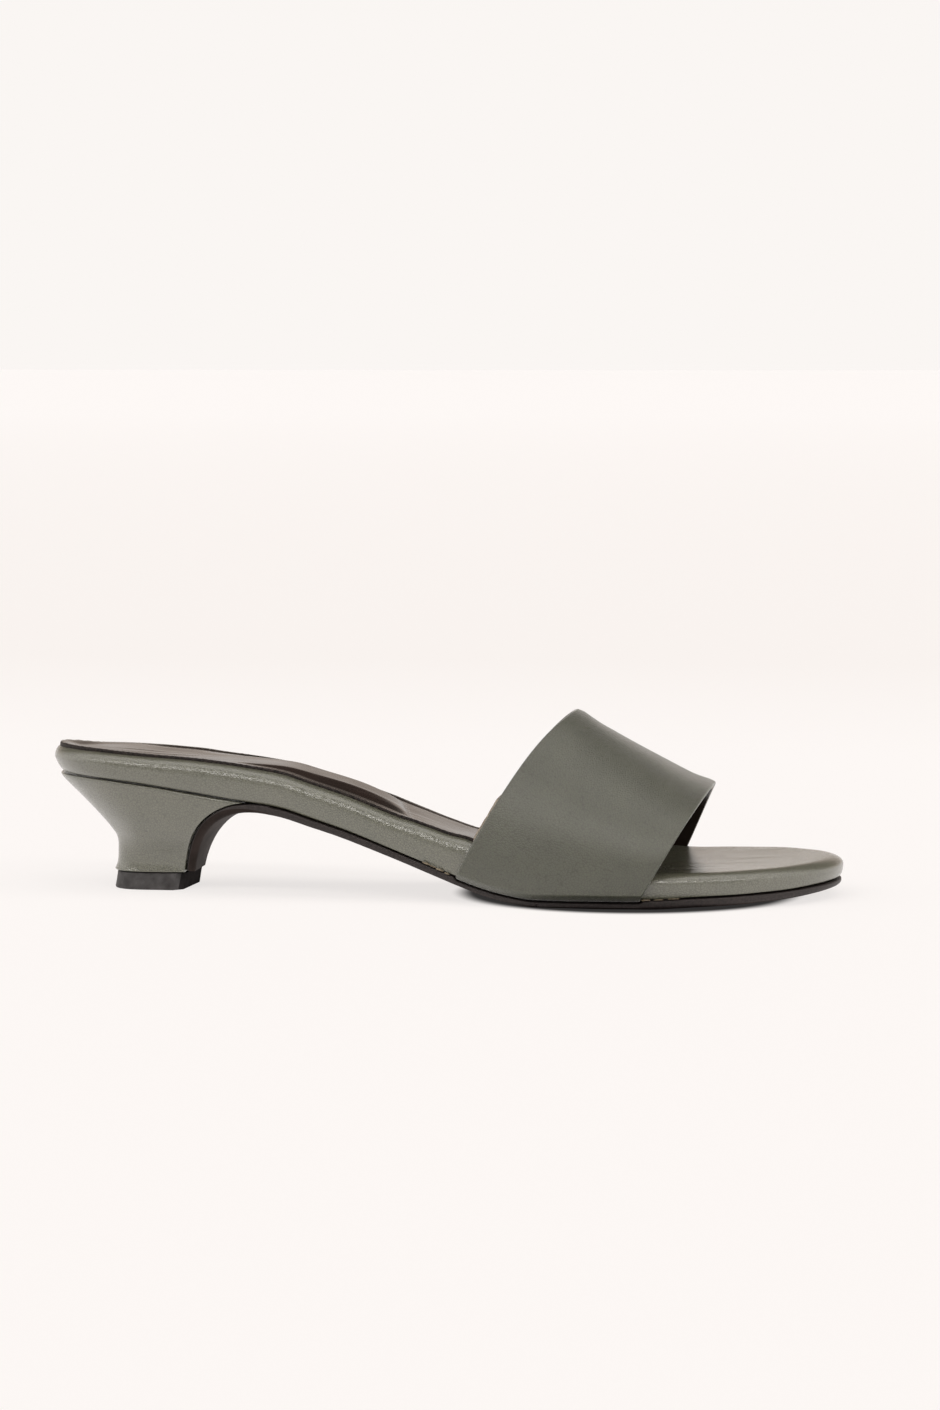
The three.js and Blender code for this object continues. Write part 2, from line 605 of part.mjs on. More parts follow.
// The strap, hoop by hoop from its back edge (0) to its front edge (1). Each hoop is a chain of paired points,
// inner face and outer face, from one turned-under margin over the crest to the other.
function strapHoop(across) {
  const crestX = lerp(crestBack, crestFront, across);
  const crestTop = lerp(crestBackHeight, crestFrontHeight, across) - hoopSag(across) * crestSag;
  const round = hoopRound(across);
  const lean = hoopLean(across);
  const tip = hoopTip(across);

  const sideChain = (side) => {
    const [footBack, footFront] =
      side < 0 ? [strapBackOuter, strapFrontOuter] : [strapBackInner, strapFrontInner];
    const foot = lerp(footBack, footFront, across);
    const footZ = seatAt(foot) - clearance;
    const forwards = (z) => {
      const up = Math.max(0, (z - footZ) / (crestTop - footZ));
      return lerp(foot, crestX, lerp(up ** lean, up ** 6, tip));
    };
    const wallTop = (x) => seatAt(x) + thicknessAt(x, side) * widestShare;
    const sideY = (x, out) => centreAt(x) + side * (halfWidthAt(x) + out);
    const pair = (x, inner, outer, innerZ, outerZ) => [
      [x, inner, innerZ],
      [x, outer, outerZ],
    ];

    const under = footZ - strapMarginThickness;
    const chain = [
      pair(foot, sideY(foot, -strapMargin), sideY(foot, -strapMargin), footZ, under),
      pair(foot, sideY(foot, -strapMargin / 2), sideY(foot, -strapMargin / 2), footZ, under),
      pair(foot, sideY(foot, -clearance), sideY(foot, -clearance), footZ, under),
      pair(foot, sideY(foot, clearance), sideY(foot, clearance + strapThickness * 0.7), footZ, under),
    ];

    // Up the footbed's side, where the strap stands upright.
    let topX = foot;
    for (let i = 0; i < 6; i += 1) topX = forwards(wallTop(topX));
    const topZ = wallTop(topX);
    for (let i = 1; i <= 3; i += 1) {
      const z = lerp(footZ, topZ, i / 3);
      const x = forwards(z);
      chain.push(pair(x, sideY(x, clearance), sideY(x, clearance + strapThickness), z, z));
    }

    // Over the foot, as a quarter of a rounded arch.
    const crestY = centreAt(crestX) + crestShift;
    const wallY = sideY(topX, clearance);
    const innerTop = crestTop - strapThickness;
    for (let i = 1; i < archSteps; i += 1) {
      const turn = (Math.PI / 2) * (i / archSteps);
      const up = Math.sin(turn) ** (2 / round);
      const out = Math.cos(turn) ** (2 / round);
      const innerZ = lerp(topZ, innerTop, up);
      const outerZ = lerp(topZ, crestTop, up);
      const innerY = lerp(crestY, wallY, out);
      const outerY = lerp(crestY, wallY + side * strapThickness, out);
      chain.push([
        [forwards(innerZ), innerY, innerZ],
        [forwards(outerZ), outerY, outerZ],
      ]);
    }
    return { chain, crest: [[forwards(innerTop), crestY, innerTop], [crestX, crestY, crestTop]] };
  };

  const outer = sideChain(-1);
  const inner = sideChain(1);
  const pairs = [...outer.chain, outer.crest, ...inner.chain.reverse()];
  return [...pairs.map(([innerPoint]) => innerPoint), ...pairs.map(([, outerPoint]) => outerPoint).reverse()];
}

function strap() {
  const rings = [];
  for (let i = 0; i < hoopCount; i += 1) rings.push(strapHoop(i / (hoopCount - 1)));
  return skin(rings, true);
}

const finishes = {
  olive: new THREE.MeshStandardMaterial({ name: "olive_leather", color: 0x5f635b, roughness: 0.5, metalness: 0 }),
  black: new THREE.MeshStandardMaterial({ name: "black_lining", color: 0x2a2726, roughness: 0.4, metalness: 0 }),
  sole: new THREE.MeshStandardMaterial({ name: "sole_sheet", color: 0x37322f, roughness: 0.5, metalness: 0 }),
  rubber: new THREE.MeshStandardMaterial({ name: "top_piece_rubber", color: 0x1c1b1b, roughness: 0.6, metalness: 0 }),
};

function piece(name, geometry, material) {
  geometry.computeVertexNormals();
  const mesh = new THREE.Mesh(geometry, material);
  mesh.name = name;
  return mesh;
}

const shoe = new THREE.Group();
shoe.add(
  piece("outsole", outsole(), finishes.sole),
  piece("heel_block", heel(), finishes.olive),
  piece("top_piece", topPiece(), finishes.rubber),
  piece("footbed", footbed(), finishes.olive),
  piece("sock_lining", sock(), finishes.black),
  piece("upper_strap", strap(), finishes.olive),
);

// The part's own origin: on the floor, under the middle of the shoe.
const box = new THREE.Box3().setFromObject(shoe);
shoe.position.set(-(box.min.x + box.max.x) / 2, -(box.min.y + box.max.y) / 2, -box.min.z);

const part = new THREE.Group();
part.add(shoe);

export default part;
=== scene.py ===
# Kitten-heel slide sandal for the right foot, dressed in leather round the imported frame.
import bpy
import bmesh
from functools import lru_cache
from math import atan, cos, exp, pi, radians, sin, sqrt, tan
from mathutils import Matrix, Vector, noise


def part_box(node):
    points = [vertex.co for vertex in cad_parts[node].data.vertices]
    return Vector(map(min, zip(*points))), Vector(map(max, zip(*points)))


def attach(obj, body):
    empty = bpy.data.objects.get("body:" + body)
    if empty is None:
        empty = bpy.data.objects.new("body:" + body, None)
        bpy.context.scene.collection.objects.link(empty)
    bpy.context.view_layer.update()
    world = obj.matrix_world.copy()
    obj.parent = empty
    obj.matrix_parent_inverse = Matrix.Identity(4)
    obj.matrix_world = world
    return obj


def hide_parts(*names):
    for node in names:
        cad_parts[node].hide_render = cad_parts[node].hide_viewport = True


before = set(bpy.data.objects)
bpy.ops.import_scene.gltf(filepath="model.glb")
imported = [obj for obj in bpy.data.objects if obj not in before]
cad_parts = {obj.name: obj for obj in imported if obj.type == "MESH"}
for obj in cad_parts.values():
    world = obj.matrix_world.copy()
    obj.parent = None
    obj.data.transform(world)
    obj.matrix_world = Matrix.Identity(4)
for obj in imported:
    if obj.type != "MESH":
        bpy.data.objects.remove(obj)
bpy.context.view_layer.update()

# Everything below is worked out in millimetres from the back of the heel, the middle line and the floor.
# The pieces share their surfaces, so the settings of the footbed, its lining, the sole and the strap stand together.
tipLow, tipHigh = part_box("top_piece")
frameStart = Vector((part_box("footbed")[0].x, (tipLow.y + tipHigh.y) / 2, 0))
mm = 0.001

shoe = {
    "length": 246,
    "ballWidth": 78,
    "heelHeight": 36.5,  # floor to the underside of the footbed, at the back
    "toeSpring": 3.7,
    "heelRounding": 27,
    "toeRounding": 42,
    "gap": 0.3,  # between pieces that touch
}

# Footbed outline before its ends are rounded: centre and half width as shares of the ball width
outlineTable = {
    "along": (0, .06, .13, .25, .37, .45, .53, .61, .68, .74, .8, .86, .92, 1),
    "centre": (0, 0, -.001, -.012, -.038, -.053, -.056, -.037, -.011, .004, .02, .038, .054, .07),
    "half": (.312, .316, .318, .31, .298, .305, .347, .428, .485, .501, .503, .494, .481, .46),
}

# Underside of the sole: share of the heel's lift, of the toe spring and of the sole's thickness
soleTable = {
    "along": (0, .07, .134, .206, .26, .306, .346, .387, .427, .468, .508, .536, .566, .598, .633, .73, .77,
              .829, .878, .94, .975, 1),
    "rise": (1, .98, .93, .85, .79, .738, .65, .556, .452, .338, .23, .155, .085, .032, 0, 0, 0, 0, 0, 0, 0, 0),
    "spring": (0, 0, 0, 0, 0, 0, 0, 0, 0, 0, 0, 0, 0, 0, 0, 0, 0, .2, .35, .6, .83, 1),
    "thickness": (1, 1, 1, 1, 1, 1, 1, 1, 1, 1, 1, 1.02, 1.05, 1.09, 1.12, 1.17, 1.19, 1.17, 1.14, 1.03, .95, .85),
}

# Footbed section: shares of its thickness, of how far its side tucks in, of its shoulder, its dish and its bank
footbedTable = {
    "along": (0, .03, .077, .134, .206, .26, .344, .41, .45, .476, .516, .547, .6, .68, .75, .82, .92, 1),
    "thickness": (.78, .77, .76, .8, .93, .97, .96, .98, .98, 1, 1, 1.05, 1, .87, .8, .69, .665, .62),
    "tuck": (1, 1, .95, .85, .75, .65, .5, .4, .35, .3, .3, .3, .25, .25, .25, .25, .3, .4),
    "shoulder": (.48, .66, .9, .97, 1, 1.05, 1.1, 1.1, 1.05, 1, 1, 1, 1.05, 1.1, 1.1, 1.1, 1.05, 1),
    "dish": (.1, .3, .5, .8, .95, 1, 1, .8, .3, .12, .12, .12, .15, .2, .24, .26, .24, 0),
    "bank": (0, .05, .15, .2, .25, .25, .2, .05, 0, .3, .7, 1, .9, .25, 0, 0, 0, 0),
}


def lerp(a, b, t):
    return a + (b - a) * t


def clamp(value, low=0, high=1):
    return max(low, min(high, value))


def partOf(value, low, high):
    return (value - low) / (high - low)


def smooth(value, low=0, high=1):
    t = clamp(partOf(value, low, high))
    return t * t * (3 - 2 * t)


def quarter(value, low, high):  # a quarter turn from low to high
    return pi / 2 * partOf(value, low, high)


def halves(v, first):  # side of the shoe and how far from the start or the end of the row, 0 to 1
    return (first, 2 * v) if v < .5 else (-first, 2 - 2 * v)


def curve(table, key, column):  # smooth through one column, level wherever it stops rising or falling
    places, values = table[key], table[column]
    last = len(places) - 1
    slopes = [(values[i + 1] - values[i]) / (places[i + 1] - places[i]) for i in range(last)]
    tangents = []
    for i in range(last + 1):
        before, after = slopes[max(i - 1, 0)], slopes[min(i, last - 1)]
        tangents.append(2 * before * after / (before + after) if before * after > 0 else 0)

    @lru_cache(maxsize=8192)
    def at(place):
        place = clamp(place, places[0], places[-1])
        i = 0
        while i < last - 1 and place > places[i + 1]:
            i += 1
        span = places[i + 1] - places[i]
        t = (place - places[i]) / span
        return (values[i] * (1 + 2 * t) * (1 - t) ** 2 + tangents[i] * span * t * (1 - t) ** 2
                + values[i + 1] * t * t * (3 - 2 * t) + tangents[i + 1] * span * t * t * (t - 1))

    return at


def along(table, column, size):  # a column of a table as a length, by the place along the shoe
    at = curve(table, "along", column)
    return lambda x: at(x / shoe["length"]) * size


# The far rim as it really lies, up or down from the table above, by millimetres along the shoe
rimTable = {
    "along": (0, 8, 18, 25, 35, 42, 51, 66, 75, 104, 112, 120, 129, 140, 190, 204, 218, 228, 246),
    "lift": (-.3, -.45, -.2, 0, .3, .3, 0, .1, 0, 0, -.2, -.1, .2, 0, 0, -.35, -.3, -.1, 0),
}

footbed = {
    "thickness": 10,
    "bank": 1.6,  # how far it falls to its inner side, behind the strap
    "tuck": 2.8,  # how far its side leans in towards the bottom, at the heel
    "shoulder": 4.3,  # width of its rounded upper edge
    "dish": 2.6,  # hollow under the heel and the arch
    "dishCurve": 1.5,
    "widest": 0.56,  # how far up its side it is widest, as a share
    "backIn": 0.5,  # how far the wrapped back sits forward of the frame
    "backReach": 30,
    "backLean": 0.55,  # its side is straighter there too
    "leanReach": 45,
    "unevenness": 0.09,  # of the padding under the leather
    "unevenEvery": 17,
    "streak": 0.1,  # the leather is drawn along at the toe
    "streakSize": (34, 4.5),
    "streakStarts": (180, 205),
    "streakEnds": (214, 236),
    "ends": (0.16, 0.2),  # share of the stations in its round heel and toe
    "rows": (0.12, 0.42, 0.7),  # where its underside, its lower side and its shoulder end, half way round it
    "liftRows": (0.2, 0.5),  # where the far rim's lift sets in
}

sock = {
    "thickness": 1.3,
    "proud": 0.1,  # above the rim that it is let into
    "length": 164,
    "corner": 12,
    "cornerIn": 0.35,  # share of its half width that each front corner takes
    "edgeRound": 0.35,
    "edgeLift": 0.75,  # its edge stands above the footbed's rim
    "lip": 0.3,  # and more at the back
    "lipReach": 34,
    "lipBack": 0.8,  # how far the back edge hangs out over the rim
    "lipBackReach": 22,
    "edgeFades": (1, 6),  # in from the edge
    "pucker": 0.07,  # small gathers of the turned edge
    "puckerEvery": 2.3,
    "puckerAt": (0.2, 1.2),
    "pad": 2.05,  # arch pad under it, higher than the rim
    "fill": 0.75,  # padding that evens out most of the dish
    "farDip": 0.35,  # shallow trough beside the far edge
    "farDipAt": (3.2, 1.8),
    "farDipStarts": (20, 35),
    "backDip": 0.35,  # the far edge hangs a little at the back
    "backDipAt": (10, 9),
    "padFrom": 34,
    "padFull": 92,
    "padRise": 1.2,  # how late it rises
    "padTo": 110.5,
    "padSlant": 0.25,  # its front end runs further on the outer side
    "padNose": 15,
    "padNear": (1.5, 4.5, 12.5),  # its outer slope, from the edge inwards, at its start and where it is full
    "padWidens": (46, 98),
    "padFar": (4, 11),
    "unevenness": 0.04,
    "unevenEvery": 9,
    "ends": (0.2, 0.12),
    "rows": (0.15, 0.35),  # where its underside and its round edge end
    "upperFrom": 0.2,
    "stainedRows": (0.12, 0.335),
}

sole = {
    "thickness": 2.5,
    "inset": 0.5,  # its edge in from the footbed's side
    "edgeRound": 0.5,
    "edgeDrop": 0.3,  # its upper edge is skived, which leaves a dark line under the footbed
    "edgeDropAt": (0.9, 0.97),
    "treadRound": 0.5,  # the edge below is rounder from the tread on
    "treadStarts": (150, 165),
    "recess": 0.8,  # let in for the strap's turned margins
    "breastStart": 72,  # where it leaves the waist and turns down the heel
    "breastFoot": 46,
    "breastCurl": 16,
    "breastDrop": 14,
    "breastLean": 8,  # degrees from upright at the top piece
    "breastCrown": 1.4,  # how far its middle stands out, half way down
    "breastRound": 1.9,  # and how round its edges are
    "breastSteps": (4, 3),  # it has its own width a quarter, and its own edges a third, of the way down
    "edgeRough": 0.024,  # the trimmed edge wanders this much
    "edgeRoughEvery": 1.3,
    "unevenness": 0.05,
    "unevenEvery": 12,
    "plateShare": 0.78,  # of its stations, the rest run down the heel
    "toeShare": 0.24,
    "rows": (0.3, 0.4, 0.5, 0.6),  # where its face, the edge below, its wall and its skived edge end
    "stainedRows": (0.36, 0.4, 0.64),  # from the first on the plate, from the second on the breast
}

strap = {
    "thickness": 2.1,
    "leatherFrom": 0.36,  # shares of the thickness, counted from the foot
    "liningTo": 0.31,
    "margin": 11,  # turned under the footbed
    "marginThickness": 0.5,
    "back": {-1: 131, 1: 127.5},  # lower corners on the outer (-1) and the inner side
    "front": {-1: 187.5, 1: 192},
    "crestBack": 164,
    "crestFront": 206.3,
    "crestBackHeight": 57.2,
    "crestFrontHeight": 34,
    "crestSag": 1.45,
    "crestShift": 5,
    "edgeDrop": (0.6, 0.3),  # the back and front edges curl down a little over the foot
    "edgeDropReach": 0.055,
    "backOut": 0.7,  # the back edge swings out between the side and the crest
    "backOutAt": (0.38, 0.11),
    "liningInset": (0.75, 0.2),  # the cut edge of the lining, in from the folds
    "liningRough": (0.16, 0.08),  # and how unevenly it was cut
    "liningFrom": 0.09,  # it starts this far up the margins
    "liningShows": 1.25,  # but it slipped out along a stretch of the back edge, where its bare strip is painted pale, partly as the fold's highlight
    "liningShowsAt": (0.19, 0.21, 0.262, 0.29),
    "cornerRoll": 1.8,  # round lower edge where it turns under
    "innerRoll": 0.4,
    "outerRoll": 0.4,  # from round (0) to full (1)
    "swellFrom": 0.4,
    "unevenness": 0.12,
    "rows": (0.14, 0.22, 0.36),  # where the turned margin, the lower edge and the footbed's side end
    "leatherRows": (0.4, 0.5, 0.9),  # outer face, front fold, inner face
    "liningRows": (0.45, 0.5, 0.88, 0.95),  # inner face, front cut, outer face, bare strip (painted pale, partly as highlight)
}

centreAt = along(outlineTable, "centre", shoe["ballWidth"])
reachHalf = along(outlineTable, "half", shoe["ballWidth"])  # half width before the ends are rounded
riseAt = along(soleTable, "rise", shoe["heelHeight"] - sole["thickness"] - shoe["gap"])
springAt = along(soleTable, "spring", shoe["toeSpring"])
soleThicknessAt = along(soleTable, "thickness", sole["thickness"])
thickAt, tuckAt, shoulderAt, dishAt, bankAt = (
    along(footbedTable, column, footbed[column]) for column in ("thickness", "tuck", "shoulder", "dish", "bank"))
farRim = curve(rimTable, "along", "lift")


@lru_cache(maxsize=8192)
def halfWidthAt(x):
    fromEnd = clamp(min(x / shoe["heelRounding"], (shoe["length"] - x) / shoe["toeRounding"], 1))
    return reachHalf(x) * sqrt(1 - (1 - fromEnd) ** 2)


def undersideAt(x):
    return riseAt(x) + springAt(x)


def seatAt(x):  # where the footbed lies on the sole and the heel
    return undersideAt(x) + soleThicknessAt(x) + shoe["gap"]


def thicknessAt(x, across):
    return thickAt(x) - bankAt(x) * across


def recessAt(x):  # how deep the footbed is let in for its lining
    depth = sock["thickness"] + shoe["gap"] - sock["proud"]
    return depth * (1 - smooth(x, sock["length"] - 3 * sock["corner"], sock["length"]))


def rimLift(x, across):
    return farRim(x) * smooth(across, .1, .9)


def dishDepth(x, inward):  # inward is 0 in the middle and 1 at the rim
    return dishAt(x) * max(0, 1 - inward * inward) ** footbed["dishCurve"]


def bedTop(x, across, inward):
    return seatAt(x) + thicknessAt(x, across) - recessAt(x) - dishDepth(x, inward)


def plotPoint(x, side, reach):  # between the footbed's spine (reach 0) and its outline (reach 1)
    spine = clamp(x, shoe["heelRounding"], shoe["length"] - shoe["toeRounding"])
    outline = centreAt(x) + side * halfWidthAt(x)
    return lerp(spine, x, reach), lerp(centreAt(spine), outline, reach)


def acrossAt(x, side, reach):  # -1 on the outer side, 1 on the inner
    return side * reach * halfWidthAt(x) / reachHalf(x)


def stationAt(u, start, end, roundStart, roundEnd, startShare, endShare):  # stations crowd towards round ends
    if u < startShare:
        return start + roundStart * (1 - cos(pi / 2 * u / startShare))
    if u > 1 - endShare:
        return end - roundEnd * (1 - sin(pi / 2 * (u - 1 + endShare) / endShare))
    return lerp(start + roundStart, end - roundEnd, (u - startShare) / (1 - startShare - endShare))


def bump(x, middle, width):  # a soft hump of height 1
    return exp(-((x - middle) / width) ** 2)


def uneven(point, piece):  # nothing padded or cemented is quite even
    return noise.noise(point / piece["unevenEvery"]) * piece["unevenness"]


def inFrame(point):
    return frameStart + Vector(point) * mm


skinning = {
    "weld": 0.004,
    "sharpFrom": 40,  # degrees
}


def toObject(mesh, name):
    data = bpy.data.meshes.new(name)
    mesh.to_mesh(data)
    mesh.free()
    piece = bpy.data.objects.new(name, data)
    bpy.context.scene.collection.objects.link(piece)
    return piece


# A closed skin: a grid whose columns and rows are laid out by place(u, v), joined where they meet.
def skin(name, columns, rows, place, relief=None, finishAt=None):
    mesh = bmesh.new()
    mesh.loops.layers.uv.new("UVMap")
    bmesh.ops.create_grid(mesh, x_segments=columns, y_segments=rows, size=1, calc_uvs=True)
    if finishAt:
        for face in mesh.faces:
            middle = face.calc_center_median()
            face.material_index = finishAt((middle.x + 1) / 2, (middle.y + 1) / 2)
    for vert in mesh.verts:
        vert.co = inFrame(place((vert.co.x + 1) / 2, (vert.co.y + 1) / 2))
    bmesh.ops.remove_doubles(mesh, verts=mesh.verts, dist=skinning["weld"] * mm)
    bmesh.ops.dissolve_degenerate(mesh, edges=mesh.edges, dist=1e-7)
    bmesh.ops.recalc_face_normals(mesh, faces=mesh.faces)
    if relief:
        mesh.normal_update()
        for vert in mesh.verts:
            vert.co += vert.normal * relief((vert.co - frameStart) / mm) * mm
    for face in mesh.faces:
        face.smooth = True
    for edge in mesh.edges:
        edge.smooth = edge.calc_face_angle(0) < radians(skinning["sharpFrom"])
    return toObject(mesh, name)


def dress(piece, slot, materials, *nodes):  # its finishes, riding with the shoe, standing for its frame nodes
    for material in materials:
        piece.data.materials.append(material)
    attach(piece, "root")
    if nodes:
        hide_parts(*nodes)
    print(piece.name, len(piece.data.polygons), "faces")
    return piece


def colour(hexValue):  # sRGB hex to linear
    channels = [int(hexValue[i:i + 2], 16) / 255 for i in (1, 3, 5)]
    return tuple(c / 12.92 if c <= .04045 else ((c + .055) / 1.055) ** 2.4 for c in channels) + (1,)


def tones(places, *hexValues):  # the stops of a colour ramp
    return [(place, colour(hexValue)) for place, hexValue in zip(places, hexValues)]


def addNode(material, kind, inputs=None, stops=(), **settings):  # a node as input means its first output
    node = material.node_tree.nodes.new("ShaderNode" + kind)
    for name, value in settings.items():
        setattr(node, name, value)
    if stops:
        elements = node.color_ramp.elements
        while len(elements) < len(stops):
            elements.new(1)
        for element, (place, value) in zip(elements, stops):
            element.position, element.color = place, value
    for name, value in (inputs or {}).items():
        socket = node.inputs[name]
        if isinstance(value, bpy.types.Node):
            value = value.outputs[0]
        if isinstance(value, bpy.types.NodeSocket):
            material.node_tree.links.new(value, socket)
        else:
            socket.default_value = value
    return node


def newMaterial(name):
    material = bpy.data.materials.new(name)
    material.use_nodes = True
    material.node_tree.nodes.clear()
    return material, addNode(material, "TexCoord").outputs["Object"]


def finish(material, **inputs):
    named = {name.replace("_", " "): value for name, value in inputs.items()}
    shader = addNode(material, "BsdfPrincipled", named)
    addNode(material, "OutputMaterial", {"Surface": shader})
    return material


def perSize(millimetres):  # a texture's scale from the real size of its features
    return 1 / (millimetres * mm)


def between(given, wanted):  # a Map Range node's limits
    return {"From Min": given[0], "From Max": given[1], "To Min": wanted[0], "To Max": wanted[1]}


wholeNoise, midNoise = (.3, .7), (.35, .65)  # where a noise's values lie: all of them, or the middle for more contrast

leather = {
    "heel": ("#616151", "#686757"),  # darker and lighter dye of the same leather; the strap's is darker, partly as painted shade
    "strap": ("#4e4f42", "#555648"),
    "heelFinish": (1, 0.19, 0),  # weight and roughness of the thin clear finish, and bloom of the wax on it
    "strapFinish": (0.4, 0.34, 0.8),
    "pore": "#c4c4c0",  # multiplies the dye in the valleys of the grain
    "roughness": (0.34, 0.42),
    "bloomRoughness": 0.3,
    "finishIOR": 1.8,  # stronger than real, as it stands for wax and polish too
    "finishHeight": 0.026,
    "grain": 0.8,  # width of a grain cell, a little coarser than real so that it shows
    "valley": 0.22,  # of a cell's width
    "fine": 0.22,
    "grainHeight": 0.08,
    "cloud": 11,  # size of the soft changes of the dye
}


def makeLeather(name, dyes, coat):
    # Smooth calf leather with a thin clear finish: fine even grain, broad soft highlights, slightly cloudy dye
    material, place = newMaterial(name)
    cloud = addNode(material, "TexNoise", {"Vector": place, "Scale": perSize(leather["cloud"]), "Detail": 3})
    cells = addNode(material, "TexVoronoi", {"Vector": place, "Scale": perSize(leather["grain"])},
                    feature="DISTANCE_TO_EDGE")
    fine = addNode(material, "TexNoise", {"Vector": place, "Scale": perSize(leather["fine"]), "Detail": 2})
    pebble = addNode(material, "MapRange", {"Value": cells, "From Max": leather["valley"]})
    grain = addNode(material, "Math", {0: fine, 1: .5, 2: pebble}, operation="MULTIPLY_ADD")
    relief = addNode(material, "Bump", {"Height": grain, "Distance": leather["grainHeight"] * mm})
    gloss = addNode(material, "Bump", {"Height": grain, "Distance": leather["finishHeight"] * mm})
    dye = addNode(material, "ValToRGB", {"Fac": cloud}, tones(wholeNoise, *dyes))
    valley = addNode(material, "ValToRGB", {"Fac": pebble}, tones((0, .6), leather["pore"], "#ffffff"))
    tint = addNode(material, "MixRGB", {"Fac": 1, "Color1": dye, "Color2": valley}, blend_type="MULTIPLY")
    rough = addNode(material, "MapRange", {"Value": cloud, **between(wholeNoise, leather["roughness"])})
    coatWeight, coatRoughness, bloom = coat
    return finish(material, Base_Color=tint, Roughness=rough, IOR=1.5,
                  Coat_Weight=coatWeight, Coat_Roughness=coatRoughness, Coat_IOR=leather["finishIOR"],
                  Sheen_Weight=bloom, Sheen_Roughness=leather["bloomRoughness"],
                  Coat_Normal=gloss, Normal=relief)


def makeSurface(name, shades, contrast, roughness, cloud, detail, broken=.5, refraction=1.5, specular=.5,
                height=0, pits=0, pitDetail=0):  # cloudy tone, and relief from the same noise or from finer pits
    material, place = newMaterial(name)
    clouds = addNode(material, "TexNoise", {"Vector": place, "Scale": perSize(cloud), "Detail": detail,
                                            "Roughness": broken})
    tint = addNode(material, "ValToRGB", {"Fac": clouds}, tones(contrast, *shades))
    if isinstance(roughness, tuple):  # duller where it is lighter
        roughness = addNode(material, "MapRange", {"Value": clouds, **between(contrast, roughness)})
    fine, relief = clouds, {}
    if pits:
        fine = addNode(material, "TexNoise", {"Vector": place, "Scale": perSize(pits), "Detail": pitDetail})
    if height:
        relief["Normal"] = addNode(material, "Bump", {"Height": fine, "Distance": height * mm})
    return finish(material, Base_Color=tint, Roughness=roughness, IOR=refraction, Specular_IOR_Level=specular,
                  **relief)


oliveLeather = makeLeather("oliveCalfLeather", leather["heel"], leather["heelFinish"])
# The strap's copy: its darker dye is partly painted shade
strapLeather = makeLeather("oliveCalfLeatherStrapShaded", leather["strap"], leather["strapFinish"])

# Satin glazed goat lining: almost black, tight skin, bright soft reflections at a glancing angle
blackLining = makeSurface(
    "blackGlazedLining", shades=("#1f1713", "#30231d"), contrast=wholeNoise, roughness=(.19, .27), refraction=1.38,
    cloud=24, detail=4, pits=1.1, pitDetail=3, height=.008)

# Thin moulded resin sheet of the sole, satin: smooth with faint mottling
soleSheet = makeSurface(
    "darkResinSheet", shades=("#2d2724", "#3b3330"), contrast=midNoise, roughness=.5, specular=.02,
    cloud=6, detail=3, pits=.5, pitDetail=2, height=.012)

# The same sheet where it was trimmed and stained by hand: rougher, duller, with small nicks; darker than the stain
# alone, partly as painted shade
soleEdgeStainAndShade = makeSurface(
    "trimmedSheetEdgeStainAndShade", shades=("#201b1a", "#38302e"), contrast=midNoise, roughness=.45, specular=.4,
    cloud=.7, detail=4, broken=.7, height=.06)

# Hard black heel rubber, buffed level: greyer and satin. Its front face is painted near black as shade
rubber = {"contrast": wholeNoise, "roughness": (.35, .5), "cloud": 3, "detail": 5, "height": .02}
buffedRubber = makeSurface("buffedHeelRubber", shades=("#403e3e", "#585656"), specular=.05, **rubber)
frontRubberPaintedShade = makeSurface("heelRubberFrontPaintedShade", shades=("#232121", "#302d2d"), specular=0, **rubber)

# Cut edge of the lining, unstained: pale fibres with a matt, slightly fuzzy look; on the bare strip by the back edge
# the pale colour is partly a painted highlight of the leather's fold
paleEdgeAndHighlight = makeSurface(
    "paleCutEdgeAndFoldHighlight", shades=("#82776a", "#b3a797"), contrast=midNoise, roughness=.9, cloud=.4, detail=3, height=.08)

# The sock's cut edge, stained black: matt, with a crimped, fibrous look
dyedEdge = makeSurface(
    "dyedLiningEdge", shades=("#120e0c", "#3a302c"), contrast=(.4, .7), roughness=.6, specular=.25,
    cloud=.6, detail=3, height=.15)

# Dried cement: amber, glossy, a little cloudy
driedCement = makeSurface(
    "driedCement", shades=("#574c3b", "#8c7f68"), contrast=midNoise, roughness=.35, cloud=.8, detail=2)
print("materials made")


# Footbed: round the section from the middle of the underside, up the side and over the rim to the middle
def footbedPlace(u, v):
    x = stationAt(u, 0, shoe["length"], shoe["heelRounding"], shoe["toeRounding"], *footbed["ends"])
    side, t = halves(v, 1)
    under, widest, rim = footbed["rows"]
    half = reachHalf(x)
    flank = 1 - tuckAt(x) / half
    shoulder = 1 - shoulderAt(x) / half
    if t < under:
        reach, up = flank * t / under, 0
    elif t < widest:
        turn = quarter(t, under, widest)
        lean = lerp(sin(turn), 1 - cos(turn), footbed["backLean"] * clamp(1 - x / footbed["leanReach"]))
        reach, up = lerp(flank, 1, lean), footbed["widest"] * (1 - cos(turn))
    elif t < rim:
        turn = quarter(t, widest, rim)
        reach, up = lerp(shoulder, 1, cos(turn)), lerp(footbed["widest"], 1, sin(turn))
    else:
        reach, up = shoulder * (1 - t) / (1 - rim), 1
    px, py = plotPoint(x, side, reach)
    across = acrossAt(x, side, reach)
    z = seatAt(px) + thicknessAt(px, across) * up if t < rim else bedTop(px, across, reach / shoulder)
    z += rimLift(px, across) * smooth(t, *footbed["liftRows"])
    return px + footbed["backIn"] * clamp(1 - px / footbed["backReach"]) ** 2, py, z


